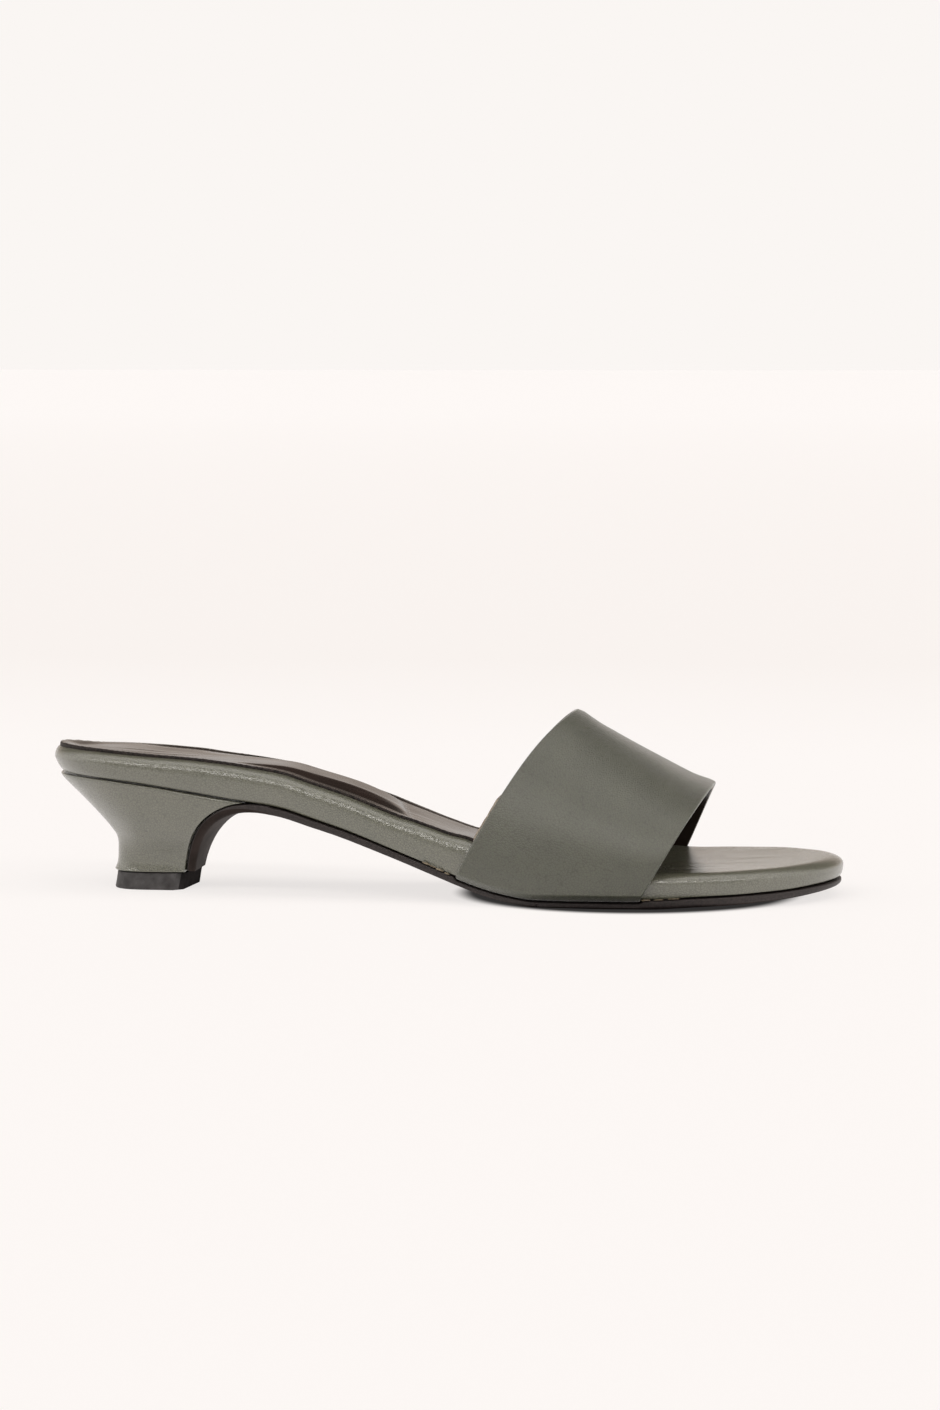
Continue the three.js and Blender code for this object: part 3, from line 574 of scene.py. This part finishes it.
def footbedRelief(point):
    length, width = footbed["streakSize"]
    streaks = noise.noise(Vector((point.x / length, point.y / width, 3)))
    streaks *= smooth(point.x, *footbed["streakStarts"]) * (1 - smooth(point.x, *footbed["streakEnds"]))
    return uneven(point, footbed) + streaks * footbed["streak"]


dress(skin("footbed_leather", 230, 120, footbedPlace, footbedRelief), "olive_leather", [oliveLeather], "footbed")


# Sock lining: a thin pad with a turned edge, let into the footbed
def padShare(x, y, fromEdge, side, width):
    near, far = (fromEdge, 2 * width - fromEdge) if side < 0 else (2 * width - fromEdge, fromEdge)
    start, narrow, wide = sock["padNear"]
    end = lerp(narrow, wide, smooth(x, *sock["padWidens"]))
    up = (smooth(near, start, end) + clamp((near - start) / (end - start))) / 2
    nose = clamp((sock["padTo"] - sock["padSlant"] * y - x) / sock["padNose"])
    onward = smooth(x, sock["padFrom"], sock["padFull"]) ** sock["padRise"] * sqrt(nose * (2 - nose))
    return up * smooth(far, *sock["padFar"]) * onward


def sockPlace(u, v):
    x = stationAt(u, 0, sock["length"], shoe["heelRounding"], sock["corner"], *sock["ends"])
    side, t = halves(v, 1)
    under, over = sock["rows"]
    half = reachHalf(x)
    cornerIn = clamp(1 - (sock["length"] - x) / sock["corner"])
    corner = 1 - sock["cornerIn"] * (1 - sqrt(1 - cornerIn * cornerIn))
    bedReach = 1 - shoulderAt(x) / half
    width = half * bedReach
    edge = (1 - shoe["gap"] / width) * corner
    backwards = clamp(1 - x / sock["lipReach"])
    raised = sock["edgeLift"] + sock["lip"] * backwards
    full = sock["thickness"] + raised * (1 if side < 0 else backwards ** 4)
    if t < under:
        inward, lift = edge * t / under, 0
    elif t < over:
        turn = 2 * quarter(t, under, over)
        inward = edge - sock["edgeRound"] * (1 - sin(turn)) / width
        lift = full / 2 * (1 - cos(turn))
    else:
        inward = (edge - sock["edgeRound"] / width) * (1 - t) / (1 - over)
        lift = full
    px, py = plotPoint(x, side, inward * bedReach)
    fromEdge = (edge - inward) * width
    upper = smooth(t, sock["upperFrom"], over)
    gathers = sin(2 * pi * x / sock["puckerEvery"] + 2 * noise.noise(Vector((x / 5, side * 3, 0))))
    lift += sock["pucker"] * gathers * bump(fromEdge, *sock["puckerAt"]) * upper
    lift -= (full - sock["thickness"]) * smooth(fromEdge, *sock["edgeFades"]) * upper
    across = acrossAt(x, side, inward * bedReach)
    padded = padShare(px, py, fromEdge, side, width)
    lift += (dishDepth(px, inward) * lerp(sock["fill"], 1, padded) + sock["pad"] * padded) * upper
    if side > 0:
        lift -= sock["backDip"] * bump(px, *sock["backDipAt"]) * upper
        lift -= sock["farDip"] * bump(fromEdge, *sock["farDipAt"]) * smooth(px, *sock["farDipStarts"]) * upper
    px -= sock["lipBack"] * clamp(1 - px / sock["lipBackReach"]) ** 2 * clamp(inward * 1.5 - .5)
    return px, py, bedTop(px, across, inward) + rimLift(px, across) + shoe["gap"] + lift


# Slack folds of the lining in the heel's dish: middle x and y, slope, length, width and height
sockFolds = ((30, -8, .22, 11, 1.1, .14), (34, -3, .25, 13, 1.3, .16), (27, 3, .18, 10, 1.0, .1),
             (96, -14, .08, 16, 1.6, .08), (104, -9, .1, 18, 1.8, .08))


def sockRelief(point):
    height = uneven(point, sock)
    for x, y, slope, length, width, size in sockFolds:
        height += size * bump(point.x, x, length) * bump(point.y, y + slope * (point.x - x), width)
    return height


def sockFinish(u, v):  # its cut edge is stained
    low, high = sock["stainedRows"]
    return 1 if low < 2 * min(v, 1 - v) < high else 0


sockPad = dress(skin("sock_lining_pad", 190, 110, sockPlace, sockRelief, sockFinish), "black_lining",
                [blackLining, dyedEdge], "sock_lining")
print("footbed and sock made")


# Top piece, which the sole runs down to
tip = {
    "height": 5.3,
    "width": 22.8,
    "flare": 0.8,
    "back": 20.4,
    "front": 44.2,
    "corner": 2.8,
    "turn": 0.7,  # its front is ahead on the inner side and behind on the outer
    "skive": 1,  # its front leans back to the floor
    "flareCurve": 1.3,
    "bevel": 0.35,
    "bevelShare": 0.08,  # of its height
    "middle": 33,
    "cap": 0.06,  # share of the rows on its upper and on its lower face
    "stations": (0.25, 0.35),  # where its front and its cut corner end, half way round it
    # share of the stations round the front that are painted near black as shade
    "paintedShadeTo": 0.15,
}


# Outsole: its underside's run down the heel, as a Bezier curve seen from the side
def breastCurve():
    start, foot = sole["breastStart"], sole["breastFoot"]
    slope = (seatAt(start + 1) - seatAt(start - 1)) / 2
    footZ = tip["height"] + shoe["gap"]
    return (Vector((start, undersideAt(start))),
            Vector((start - sole["breastCurl"], undersideAt(start) - slope * sole["breastCurl"])),
            Vector((foot + sole["breastDrop"] * tan(radians(sole["breastLean"])), footZ + sole["breastDrop"])),
            Vector((foot, footZ)))


breastPoints = breastCurve()
breastTable = {"path": (0, .25, .5, .75, .88, 1), "half": (.3, .293, .262, .187, .152, .13)}
breastHalf = curve(breastTable, "path", "half")


@lru_cache(maxsize=8192)
def breastPoint(path, lift):  # lift is from its visible face towards the heel
    a, b, c, d = breastPoints
    back = 1 - path
    at = a * back ** 3 + b * 3 * back ** 2 * path + c * 3 * back * path ** 2 + d * path ** 3
    run = (b - a) * back ** 2 + (c - b) * 2 * back * path + (d - c) * path ** 2
    run.normalize()
    return at.x + run.y * lift, at.y - run.x * lift


def soleSection(v, half, thickness, lower):  # side, share of the half width and height round the section
    side, t = halves(v, -1)
    face, below, wall, skived = sole["rows"]
    radius = sole["edgeRound"]
    corner = 1 - radius / half
    if t < face:
        return side, (1 - lower / half) * t / face, 0
    if t < below:
        turn = quarter(t, face, below)
        return side, lerp(1 - lower / half, 1, sin(turn)), lower * (1 - cos(turn))
    if t < wall:
        return side, 1, lerp(lower, thickness - radius, partOf(t, below, wall))
    if t < skived:
        turn = quarter(t, wall, skived)
        return side, lerp(corner, 1, cos(turn)), thickness - radius * (1 - sin(turn))
    return side, corner * (1 - t) / (1 - skived), thickness


def marginRecess(x, side, reach):  # room for the strap's turned-under margin, with slopes 1 mm wide
    start, end = strap["back"][side] - 1, strap["front"][side] + 1
    inside = smooth(x, start, start + 1) * (1 - smooth(x, end - 1, end))
    fromEdge = halfWidthAt(x) * (1 - reach)
    return sole["recess"] * inside * (1 - smooth(fromEdge, strap["margin"], strap["margin"] + 1))


def solePlace(u, v):
    plateShare = sole["plateShare"]
    if u < plateShare:
        x = stationAt(1 - u / plateShare, sole["breastStart"], shoe["length"], 0, shoe["toeRounding"],
                      0, sole["toeShare"])
        half = reachHalf(x) - sole["inset"]
        lower = sole["edgeRound"] + sole["treadRound"] * smooth(x, *sole["treadStarts"])
        side, share, up = soleSection(v, half, soleThicknessAt(x), lower)
        reach = share * half / reachHalf(x)
        px, py = plotPoint(x, side, reach)
        if up > soleThicknessAt(x) / 2:
            up -= marginRecess(px, side, reach) + sole["edgeDrop"] * smooth(share, *sole["edgeDropAt"])
        return px, py, undersideAt(px) + up
    path = (u - plateShare) / (1 - plateShare)
    toWidth, toRound = (min(1, path * step) for step in sole["breastSteps"])
    full = lerp(halfWidthAt(sole["breastStart"]), breastHalf(path) * shoe["ballWidth"], toWidth)
    half = full - sole["inset"]
    lower = lerp(sole["edgeRound"], sole["breastRound"], toRound)
    side, share, up = soleSection(v, half, sole["thickness"], lower)
    crown = sole["breastCrown"] * sin(pi * path) * (1 - share ** 2) * (1 - up / sole["thickness"])
    x, z = breastPoint(path, up - crown)
    return x, lerp(centreAt(sole["breastStart"]), 0, path) + side * share * half, z


def soleRelief(point):
    return noise.noise(point / sole["edgeRoughEvery"]) * sole["edgeRough"] + uneven(point, sole)


def soleFinish(u, v):  # its edge was trimmed and stained, and is painted darker, partly as shade
    plate, breast, high = sole["stainedRows"]
    low = breast if u > sole["plateShare"] else plate
    return 1 if low < 2 * min(v, 1 - v) < high else 0


dress(skin("outsole_sheet", 300, 90, solePlace, soleRelief, soleFinish), "sole_sheet", [soleSheet, soleEdgeStainAndShade],
      "outsole")

# Heel: leather over a small flared block
heel = {
    "back": 20.7,
    "neckWidth": 22,
    "roundness": 2.7,
    "backShare": 0.6,
    "seatInset": 1.6,
    "seatBack": 3.4,
    "topRound": (1.1, 0.8),  # rolled upper edge of its cover: height and depth
    "footRound": (0.4, 0.4),
    "footFlare": 0.75,  # the cover swells out to the top piece
    "footFlareHeight": 3.8,
    "footFlareEnds": (0.5, 0.65),  # share of the stations from the back
    "neckFront": 6,  # ahead of the breast's foot
    "seatFront": 8,  # ahead of the breast's start
    "spreadAt": (0.2, 0.8),  # where its sides follow the spread and no longer the flare
    "coverGap": 0.3,  # the cover stops short of the footbed, which leaves a dark groove
    "tongueGap": 0.35,  # and so does its tip under the waist
    "spine": (30, 58),  # it leans in towards this line
    "footMiddle": 24,
    "cap": 0.08,  # share of the rows on its top and on its foot
    "crowding": 0.75,  # of the other rows towards its rolled edges
    "footShare": 0.6,  # of the stations, from the back to the breast
    "unevenness": 0.07,
    "unevenEvery": 14,
}

heelTable = {
    "up": (.15, .21, .3, .37, .436, .5, .644, .795, .942, 1.05),
    "flare": (.036, .02, .008, .006, .028, .115, .385, .705, 1.02, 1.19),
    "spread": (.02, .03, .12, .28, .46, .63, .88, .98, 1, 1),
}
heelFlare = curve(heelTable, "up", "flare")
heelSpread = curve(heelTable, "up", "spread")


def roundedBack(back, front, halfWidth, share):
    turn = pi / 2 * min(1, share / heel["backShare"])
    x = back + halfWidth * (1 - cos(turn) ** (2 / heel["roundness"]))
    onward = max(0, partOf(share, heel["backShare"], 1))
    return lerp(x, front, onward), halfWidth * sin(turn) ** (2 / heel["roundness"])


def heelOutline(z, share, side):
    flare = heelFlare(z / shoe["heelHeight"])
    spread = heelSpread(z / shoe["heelHeight"])
    neckX, neckY = roundedBack(heel["back"], sole["breastFoot"] + heel["neckFront"], heel["neckWidth"] / 2, share)
    run = (sole["breastStart"] + heel["seatFront"] - heel["seatBack"]) * (1 - cos(pi / 2 * share))
    seatY = max(0, halfWidthAt(run) - heel["seatInset"] * min(1, share * 3))
    widening = lerp(flare, spread, smooth(share, *heel["spreadAt"]))
    y = lerp(side * neckY, centreAt(run) + side * seatY, widening)
    return lerp(neckX, heel["seatBack"] + run, flare), y


def shareAt(z, x):  # where the outline at this height has come forward to x
    low, high = 0, 1
    for _ in range(24):
        middle = (low + high) / 2
        low, high = (middle, high) if heelOutline(z, middle, 1)[0] < x else (low, middle)
    return low


def coverTop(share):  # height of the heel's upper edge, under the footbed
    z = shoe["heelHeight"]
    for _ in range(8):
        z = seatAt(heelOutline(z, share, 1)[0]) - shoe["gap"]
    return z - heel["coverGap"]


def reachesSeat(path):  # whether the cover's front has come up to the footbed here
    x, z = breastPoint(path, behindSole)
    return z > seatAt(x) - shoe["gap"] - heel["tongueGap"]


footLevel = tip["height"] + shoe["gap"]
behindSole = sole["thickness"] + shoe["gap"]
breastEnd = next(p / 200 for p in range(199, 0, -1) if reachesSeat(p / 200))
cornerShare = shareAt(footLevel, breastPoint(1, behindSole)[0])
tongueX, tongueZ = breastPoint(breastEnd, behindSole)
tongueShare = shareAt(tongueZ, tongueX)


@lru_cache(maxsize=4096)
def lowerEdge(a):  # (share, height) along the foot and up the breast
    footShare = heel["footShare"]
    if a < footShare:
        return cornerShare * a / footShare, footLevel
    path = lerp(1, breastEnd, (a - footShare) / (1 - footShare))
    x, z = breastPoint(path, behindSole)
    return shareAt(z, x), z


@lru_cache(maxsize=4096)
def upperEdge(a):
    return tongueShare * a, coverTop(tongueShare * a)


def heelPlace(u, v):
    side, fromBreast = halves(u, 1)
    a = 1 - fromBreast
    cap = heel["cap"]
    rise = clamp((v - cap) / (1 - 2 * cap))
    up = lerp(rise, smooth(rise), heel["crowding"])
    lowShare, lowZ = lowerEdge(a)
    topShare, topZ = upperEdge(a)
    share = lerp(lowShare, topShare, up)
    z = lerp(lowZ, topZ, up)
    x, y = heelOutline(z, share, side)
    roll = 0
    for edge, (height, depth) in ((topZ - z, heel["topRound"]), (z - lowZ, heel["footRound"])):
        if edge < height:
            roll += depth * (1 - sqrt(1 - clamp(1 - edge / height) ** 2))
    flareUp = clamp(1 - (z - footLevel) / heel["footFlareHeight"])
    roll -= heel["footFlare"] * flareUp ** 2 * (1 - smooth(a, *heel["footFlareEnds"]))
    inwards = Vector((clamp(x, *heel["spine"]) - x, centreAt(x) - y))
    if inwards.length > .1:
        inwards.normalize()
        x, y = x + inwards.x * roll, y + inwards.y * roll
    if v < cap:
        x, y = lerp(max(x, heel["footMiddle"]), x, v / cap), lerp(centreAt(x), y, v / cap)
    elif v > 1 - cap:
        y = lerp(centreAt(x), y, (1 - v) / cap)
    return x, y, z


def heelRelief(point):
    return uneven(point, heel)


dress(skin("heel_cover", 220, 110, heelPlace, heelRelief), "olive_leather", [oliveLeather], "heel_block")


def tipOutline(u, grow, z):
    side, a = halves(u, 1)
    straight, cut = tip["stations"]
    halfWidth = tip["width"] / 2 + grow
    middle = tip["front"] - tip["skive"] * (1 - z / tip["height"])
    front = middle + side * tip["turn"]
    if a < straight:
        return lerp(middle, front, a / straight), side * (halfWidth - tip["corner"]) * a / straight
    if a < cut:
        t = partOf(a, straight, cut)
        return lerp(front, front - tip["corner"], t), side * (halfWidth - tip["corner"] * (1 - t))
    x, y = roundedBack(tip["back"] - grow, front - tip["corner"], halfWidth, (1 - a) / (1 - cut))
    return x, side * y


def tipPlace(u, v):
    cap = tip["cap"]
    level = clamp((v - cap) / (1 - 2 * cap))
    z = tip["height"] * level
    bevel = tip["bevel"] * (1 - sqrt(clamp(min(level, 1 - level) / tip["bevelShare"])))
    x, y = tipOutline(u, tip["flare"] * (1 - level) ** tip["flareCurve"] - bevel, z)
    inwards = min(v / cap, (1 - v) / cap, 1)
    return lerp(tip["middle"], x, inwards), y * inwards, z


def tipFinish(u, v):  # the front face is painted near black as shade
    return 1 if min(u, 1 - u) < tip["paintedShadeTo"] else 0


dress(skin("top_piece_rubber", 160, 60, tipPlace, None, tipFinish), "top_piece_rubber",
      [buffedRubber, frontRubberPaintedShade], "top_piece")
print("sole, heel and top piece made")

# Strap: hoops over the foot, from its back edge (0) to its front edge (1)
hoopTable = {
    "across": (0, .2, .5, .8, 1),
    "round": (2.15, 2.2, 2.25, 2.3, 2.35),
    "lean": (1.12, 1.1, 1.06, 1.02, 1),
    "tip": (.12, .11, .09, .06, .05),
    "sag": (0, .84, .98, .95, 0),
}

# Soft swells of the band: how far outwards, then middle and width across it and up its side
strapSwells = ((.35, .35, .22, .35, .5), (-.25, .75, .2, .8, .4))

hoopRound, hoopLean, hoopTip, hoopSag = (
    curve(hoopTable, "across", column) for column in ("round", "lean", "tip", "sag"))


def strapBulge(across, side, turn):
    swell = sum(out * bump(across, middle, width) * bump(turn, level, height)
                for out, middle, width, level, height in strapSwells)
    return swell + strap["unevenness"] * noise.noise(Vector((across * 3, turn * 2, side)))


def backSwing(s):
    return strap["backOut"] * bump(min(s, 1 - s), *strap["backOutAt"])


@lru_cache(maxsize=65536)
def strapSide(across, side):  # what stays the same along one half of a hoop
    crestX = lerp(strap["crestBack"], strap["crestFront"], across)
    drop = smooth(abs(across - .5), .5 - strap["edgeDropReach"], .5) * strap["edgeDrop"][across > .5]
    crestTop = (lerp(strap["crestBackHeight"], strap["crestFrontHeight"], across)
                - hoopSag(across) * strap["crestSag"] - drop)
    foot = lerp(strap["back"][side], strap["front"][side], across)
    footZ = seatAt(foot) - shoe["gap"]
    lean, tipShare = hoopLean(across), hoopTip(across)

    def forwards(z):
        up = max(0, (z - footZ) / (crestTop - footZ))
        return lerp(foot, crestX, lerp(up ** lean, up ** 6, tipShare))

    topX = foot
    for _ in range(6):
        topZ = seatAt(topX) + thicknessAt(topX, side) * footbed["widest"]
        topX = forwards(topZ)
    return crestX, crestTop, foot, footZ, forwards, topX, topZ, hoopRound(across)


def strapPoint(across, s, layer):  # s from the outer margin over the foot to the inner, layer 0 to 1 outwards
    side, w = halves(s, -1)
    crestX, crestTop, foot, footZ, forwards, topX, topZ, roundness = strapSide(across, side)
    gap, thickness, under, roll = shoe["gap"], strap["thickness"], strap["marginThickness"], strap["cornerRoll"]
    margin, edge, flank = strap["rows"]

    def yAt(x, out):
        return centreAt(x) + side * (halfWidthAt(x) + out)

    if w < margin:  # turned under
        return Vector((foot, yAt(foot, lerp(-strap["margin"], -gap, w / margin)), footZ - under * layer))
    if w < edge:  # lower edge
        turn = quarter(w, margin, edge)
        out = lerp(-gap, gap + thickness * layer, sin(turn))
        inner = footZ + strap["innerRoll"] * (1 - cos(turn))
        outer = lerp(footZ - under * (1 - sin(turn)), footZ + roll, lerp(1 - cos(turn), sin(turn), strap["outerRoll"]))
        z = lerp(inner, outer, layer)
        x = forwards(z)
        return Vector((x, yAt(x, out), z))
    if w < flank:  # up the footbed's side
        z = lerp(footZ + lerp(strap["innerRoll"], roll, layer), topZ, partOf(w, edge, flank))
        x = forwards(z)
        return Vector((x, yAt(x, gap + thickness * layer), z))
    turn = quarter(w, flank, 1)  # over the foot
    up, out = sin(turn) ** (2 / roundness), max(0, cos(turn)) ** (2 / roundness)
    crestY = centreAt(crestX) + strap["crestShift"]
    wallY = yAt(topX, gap)
    innerTop = crestTop - thickness
    innerZ, outerZ = lerp(topZ, innerTop, up), lerp(topZ, crestTop, up)
    inner = Vector((forwards(innerZ), lerp(crestY, wallY, out), innerZ))
    outer = Vector((forwards(outerZ), lerp(crestY, wallY + side * thickness, out), outerZ))
    swell = strapBulge(across, side, turn) * smooth(turn, 0, strap["swellFrom"])
    return inner.lerp(outer, layer) + Vector((0, side * cos(turn), sin(turn))) * swell


@lru_cache(maxsize=8192)
def bandWidth(s):
    return (strapPoint(1, s, 1) - strapPoint(0, s, 1)).length


def strapLeatherPlace(u, v):  # round the folded band: outer face, front fold, inner face, back fold
    low = strap["leatherFrom"]
    middle = (1 + low) / 2
    outside, frontFold, inside = strap["leatherRows"]
    fold = (1 - middle) * strap["thickness"] / bandWidth(u)
    first = fold - backSwing(u) / bandWidth(u)
    if v < outside:
        return strapPoint(lerp(first, 1 - fold, v / outside), u, 1)
    if v < frontFold:
        turn = 2 * quarter(v, outside, frontFold)
        return strapPoint(1 - fold + fold * sin(turn), u, middle + (1 - middle) * cos(turn))
    if v < inside:
        return strapPoint(lerp(1 - fold, first, partOf(v, frontFold, inside)), u, low)
    turn = 2 * quarter(v, inside, 1)
    return strapPoint(first - fold * sin(turn), u, middle - (1 - middle) * cos(turn))


def strapLiningPlace(u, v):
    s = lerp(strap["liningFrom"], 1 - strap["liningFrom"], u)
    (backIn, frontIn), (backRough, frontRough) = strap["liningInset"], strap["liningRough"]
    first, full, last, end = strap["liningShowsAt"]
    shows = strap["liningShows"] * smooth(s, first, full) * (1 - smooth(s, last, end))
    back = (backIn - backSwing(s) - shows + backRough * noise.noise(Vector((s * 90, 0, 0)))) / bandWidth(s)
    front = 1 - (frontIn + frontRough * noise.noise(Vector((s * 60, 5, 0)))) / bandWidth(s)
    bare = back + strap["liningShows"] / bandWidth(s)
    inside, frontCut, outside, strip = strap["liningRows"]
    if v < inside:
        return strapPoint(lerp(back, front, v / inside), s, 0)
    if v < frontCut:
        return strapPoint(front, s, strap["liningTo"] * partOf(v, inside, frontCut))
    if v < outside:
        return strapPoint(lerp(front, bare, partOf(v, frontCut, outside)), s, strap["liningTo"])
    if v < strip:
        return strapPoint(lerp(bare, back, partOf(v, outside, strip)), s, strap["liningTo"])
    return strapPoint(back, s, strap["liningTo"] * (1 - v) / (1 - strip))


def liningFinish(u, v):  # cut edges, and the bare strip, whose pale colour is partly a painted highlight
    inside, frontCut, outside, _ = strap["liningRows"]
    return 1 if inside < v < frontCut + .01 or v > outside else 0


dress(skin("strap_leather", 260, 150, strapLeatherPlace), "olive_leather", [strapLeather], "upper_strap")
dress(skin("strap_lining", 220, 100, strapLiningPlace, None, liningFinish), "black_lining",
      [blackLining, paleEdgeAndHighlight])
print("strap made")

# Cement that squeezed out where the strap's lower corners go under: along, height, length and thickness of each bead
glueBeads = ((121.6, .3, 1.5, .28), (123.6, .2, 1.2, .24), (125.9, .1, 1.4, .3), (128.2, -.1, .9, .26),
             (188.6, -.15, .8, .3), (189.8, -.1, .9, .24), (193, -.05, 1.6, .2), (197.5, 0, 1.8, .18))

beads = {
    "lumps": 0.12,
    "lumpsEvery": 0.7,
    "out": 0.05,  # from the footbed's side
}


def cementBeads():
    mesh = bmesh.new()
    for x, up, length, size in glueBeads:
        at = (x, centreAt(x) - halfWidthAt(x) + beads["out"], seatAt(x) - shoe["gap"] / 2 + up)
        tilt = Matrix.Rotation(-atan(seatAt(x + 1) - seatAt(x)), 4, "Y")
        shape = Matrix.Translation(inFrame(at)) @ tilt @ Matrix.Diagonal((length * mm, size * mm, size * mm, 1))
        bmesh.ops.create_icosphere(mesh, subdivisions=2, radius=1, matrix=shape)
    for vert in mesh.verts:
        vert.co += vert.normal * noise.noise(vert.co / mm / beads["lumpsEvery"]) * beads["lumps"] * mm
    for face in mesh.faces:
        face.smooth = True
    return toObject(mesh, "cement_beads")


dress(cementBeads(), "sole_sheet", [driedCement])

# Studio: pale floor and long soft lights either side of the shoe's own line, seen end on
studio = {
    "floorSize": 60,
    "floorPaint": "#848484",
    "floorGlow": 0.8,
    "floorTones": ("#f9f5f3", "#f5f0ed", "#f9f5f3"),  # near, behind the shoe and far; the darker middle one is painted shade
    "paintedContactShadow": (180, 1, 54, 50),  # painted contact shadow under the tread: middle and half sizes, millimetres
    "paintedContactShadowEdge": (0.88, 1.02),  # as shares of these sizes
    "paintedContactShadowGlow": 0.04,
    "floorTurn": (-2, .45, .95, 9, 10),  # metres behind the shoe where these colours begin
}

# Lights by their angles from the wall behind (0) over the top (90) to the camera's side (180)
lightTable = (
    ((0, 5), "#faf6f3", 1),  # backdrop
    ((7,), "#f0e0d2", .96),
    ((13.5,), "#f0e0d2", .92),
    ((18,), "#f0e0d2", .3),
    ((25, 50), "#f6ece4", .08),
    ((62,), "#f6f0ea", .16),
    ((76, 104), "#fffbf7", 1.5),  # overhead panel
    ((112, 129.5), "#fffbf7", .3),
    ((131, 135), "#fffbf7", 8.4),  # strip light
    ((136.5, 158), "#fffbf7", .4),
    ((168, 180), "#fffbf7", .5),  # pale wall behind the camera
)
sideLight = ("#fffbf7", 1.2, .68, .95)  # panels at both ends of the shoe, and where they fade in


def makeFloor():
    mesh = bmesh.new()
    bmesh.ops.create_grid(mesh, x_segments=1, y_segments=1, size=studio["floorSize"] / 2)
    ground = toObject(mesh, "studio_floor")
    # Matt translucent board lit from below, almost white, so that shadows stay faint; painted a touch darker behind as
    # shade, and with a painted contact shadow round the tread
    material, place = newMaterial("paleBoard")
    depth = addNode(material, "SeparateXYZ", {"Vector": place})
    low, *turns, high = studio["floorTurn"]
    far = addNode(material, "MapRange", {"Value": depth.outputs["Y"], "From Min": low, "From Max": high})
    tint = addNode(material, "ValToRGB", {"Fac": far},
                   tones([partOf(metres, low, high) for metres in turns], *studio["floorTones"]))
    # Painted contact shadow: the floor's colour and glow are darkened in an ellipse round the tread
    x, y, halfLength, halfWidth = studio["paintedContactShadow"]
    centre = inFrame((x, y, 0))
    scale = (1 / (halfLength * mm), 1 / (halfWidth * mm), 0)
    around = addNode(material, "Mapping", {"Vector": place, "Scale": scale,
                                           "Location": (-centre.x * scale[0], -centre.y * scale[1], 0)})
    away = addNode(material, "VectorMath", {0: around}, operation="LENGTH")
    clear = addNode(material, "MapRange", {"Value": away.outputs["Value"],
                                           **between(studio["paintedContactShadowEdge"], (studio["paintedContactShadowGlow"], 1))},
                    interpolation_type="SMOOTHSTEP")
    tintWithShadow = addNode(material, "MixRGB", {"Fac": 1, "Color1": tint, "Color2": clear}, blend_type="MULTIPLY")
    paint = addNode(material, "MixRGB", {"Fac": 1, "Color1": tintWithShadow,
                                         "Color2": colour(studio["floorPaint"])}, blend_type="MULTIPLY")
    finish(material, Base_Color=paint, Roughness=.9, Specular_IOR_Level=.1,
           Emission_Color=tintWithShadow, Emission_Strength=studio["floorGlow"])
    ground.data.materials.append(material)


def glow(shade, power):  # may be brighter than white
    return [channel * power for channel in colour(shade)[:3]] + [1]


def makeLights():
    world = bpy.data.worlds.new("studio")
    bpy.context.scene.world = world
    world.use_nodes = True
    way = addNode(world, "SeparateXYZ", {"Vector": addNode(world, "TexCoord").outputs["Generated"]})
    angle = addNode(world, "Math", {0: way.outputs["Z"], 1: way.outputs["Y"]}, operation="ARCTAN2")
    turn = addNode(world, "MapRange", {"Value": angle, "From Min": 0, "From Max": pi})
    panels = addNode(world, "ValToRGB", {"Fac": turn},
                     [(degrees / 180, glow(shade, power)) for span, shade, power in lightTable for degrees in span])
    shade, power, start, end = sideLight
    sideways = addNode(world, "Math", {0: way.outputs["X"]}, operation="ABSOLUTE")
    share = addNode(world, "MapRange", {"Value": sideways, "From Min": start, "From Max": end},
                    interpolation_type="SMOOTHSTEP")
    both = addNode(world, "MixRGB", {"Fac": share, "Color1": panels, "Color2": glow(shade, power)})
    world.node_tree.links.new(both.outputs["Color"], world.node_tree.nodes["Background"].inputs["Color"])
    bpy.context.scene.view_settings.view_transform = "Standard"


view = {
    "frame": (940, 1410),
    "azimuth": 8,
    "elevation": 6.3,
    "distance": 1300,
    "target": (124.5, 0, 25),
    "targetPixel": (449, 810),
    "focal": 4199,  # pixels
    "sensor": 36,
    "clip": (0.05, 50),  # metres
}


def makeCamera():
    width, height = view["frame"]
    azimuth, elevation = radians(view["azimuth"]), radians(view["elevation"])
    back = Vector((sin(azimuth) * cos(elevation), -cos(azimuth) * cos(elevation), sin(elevation)))
    yaw = azimuth + atan((view["targetPixel"][0] - width / 2) / view["focal"])
    pitch = elevation - atan((view["targetPixel"][1] - height / 2) / view["focal"])
    lens = bpy.data.cameras.new("camera")
    lens.sensor_width = view["sensor"]
    lens.lens = view["focal"] * view["sensor"] / height
    lens.clip_start, lens.clip_end = view["clip"]
    camera = bpy.data.objects.new("camera", lens)
    camera.location = inFrame(view["target"]) + back * view["distance"] * mm
    camera.rotation_euler = (pi / 2 - pitch, 0, yaw)
    bpy.context.scene.collection.objects.link(camera)
    bpy.context.scene.camera = camera


makeFloor()
makeLights()
makeCamera()
print("studio made")
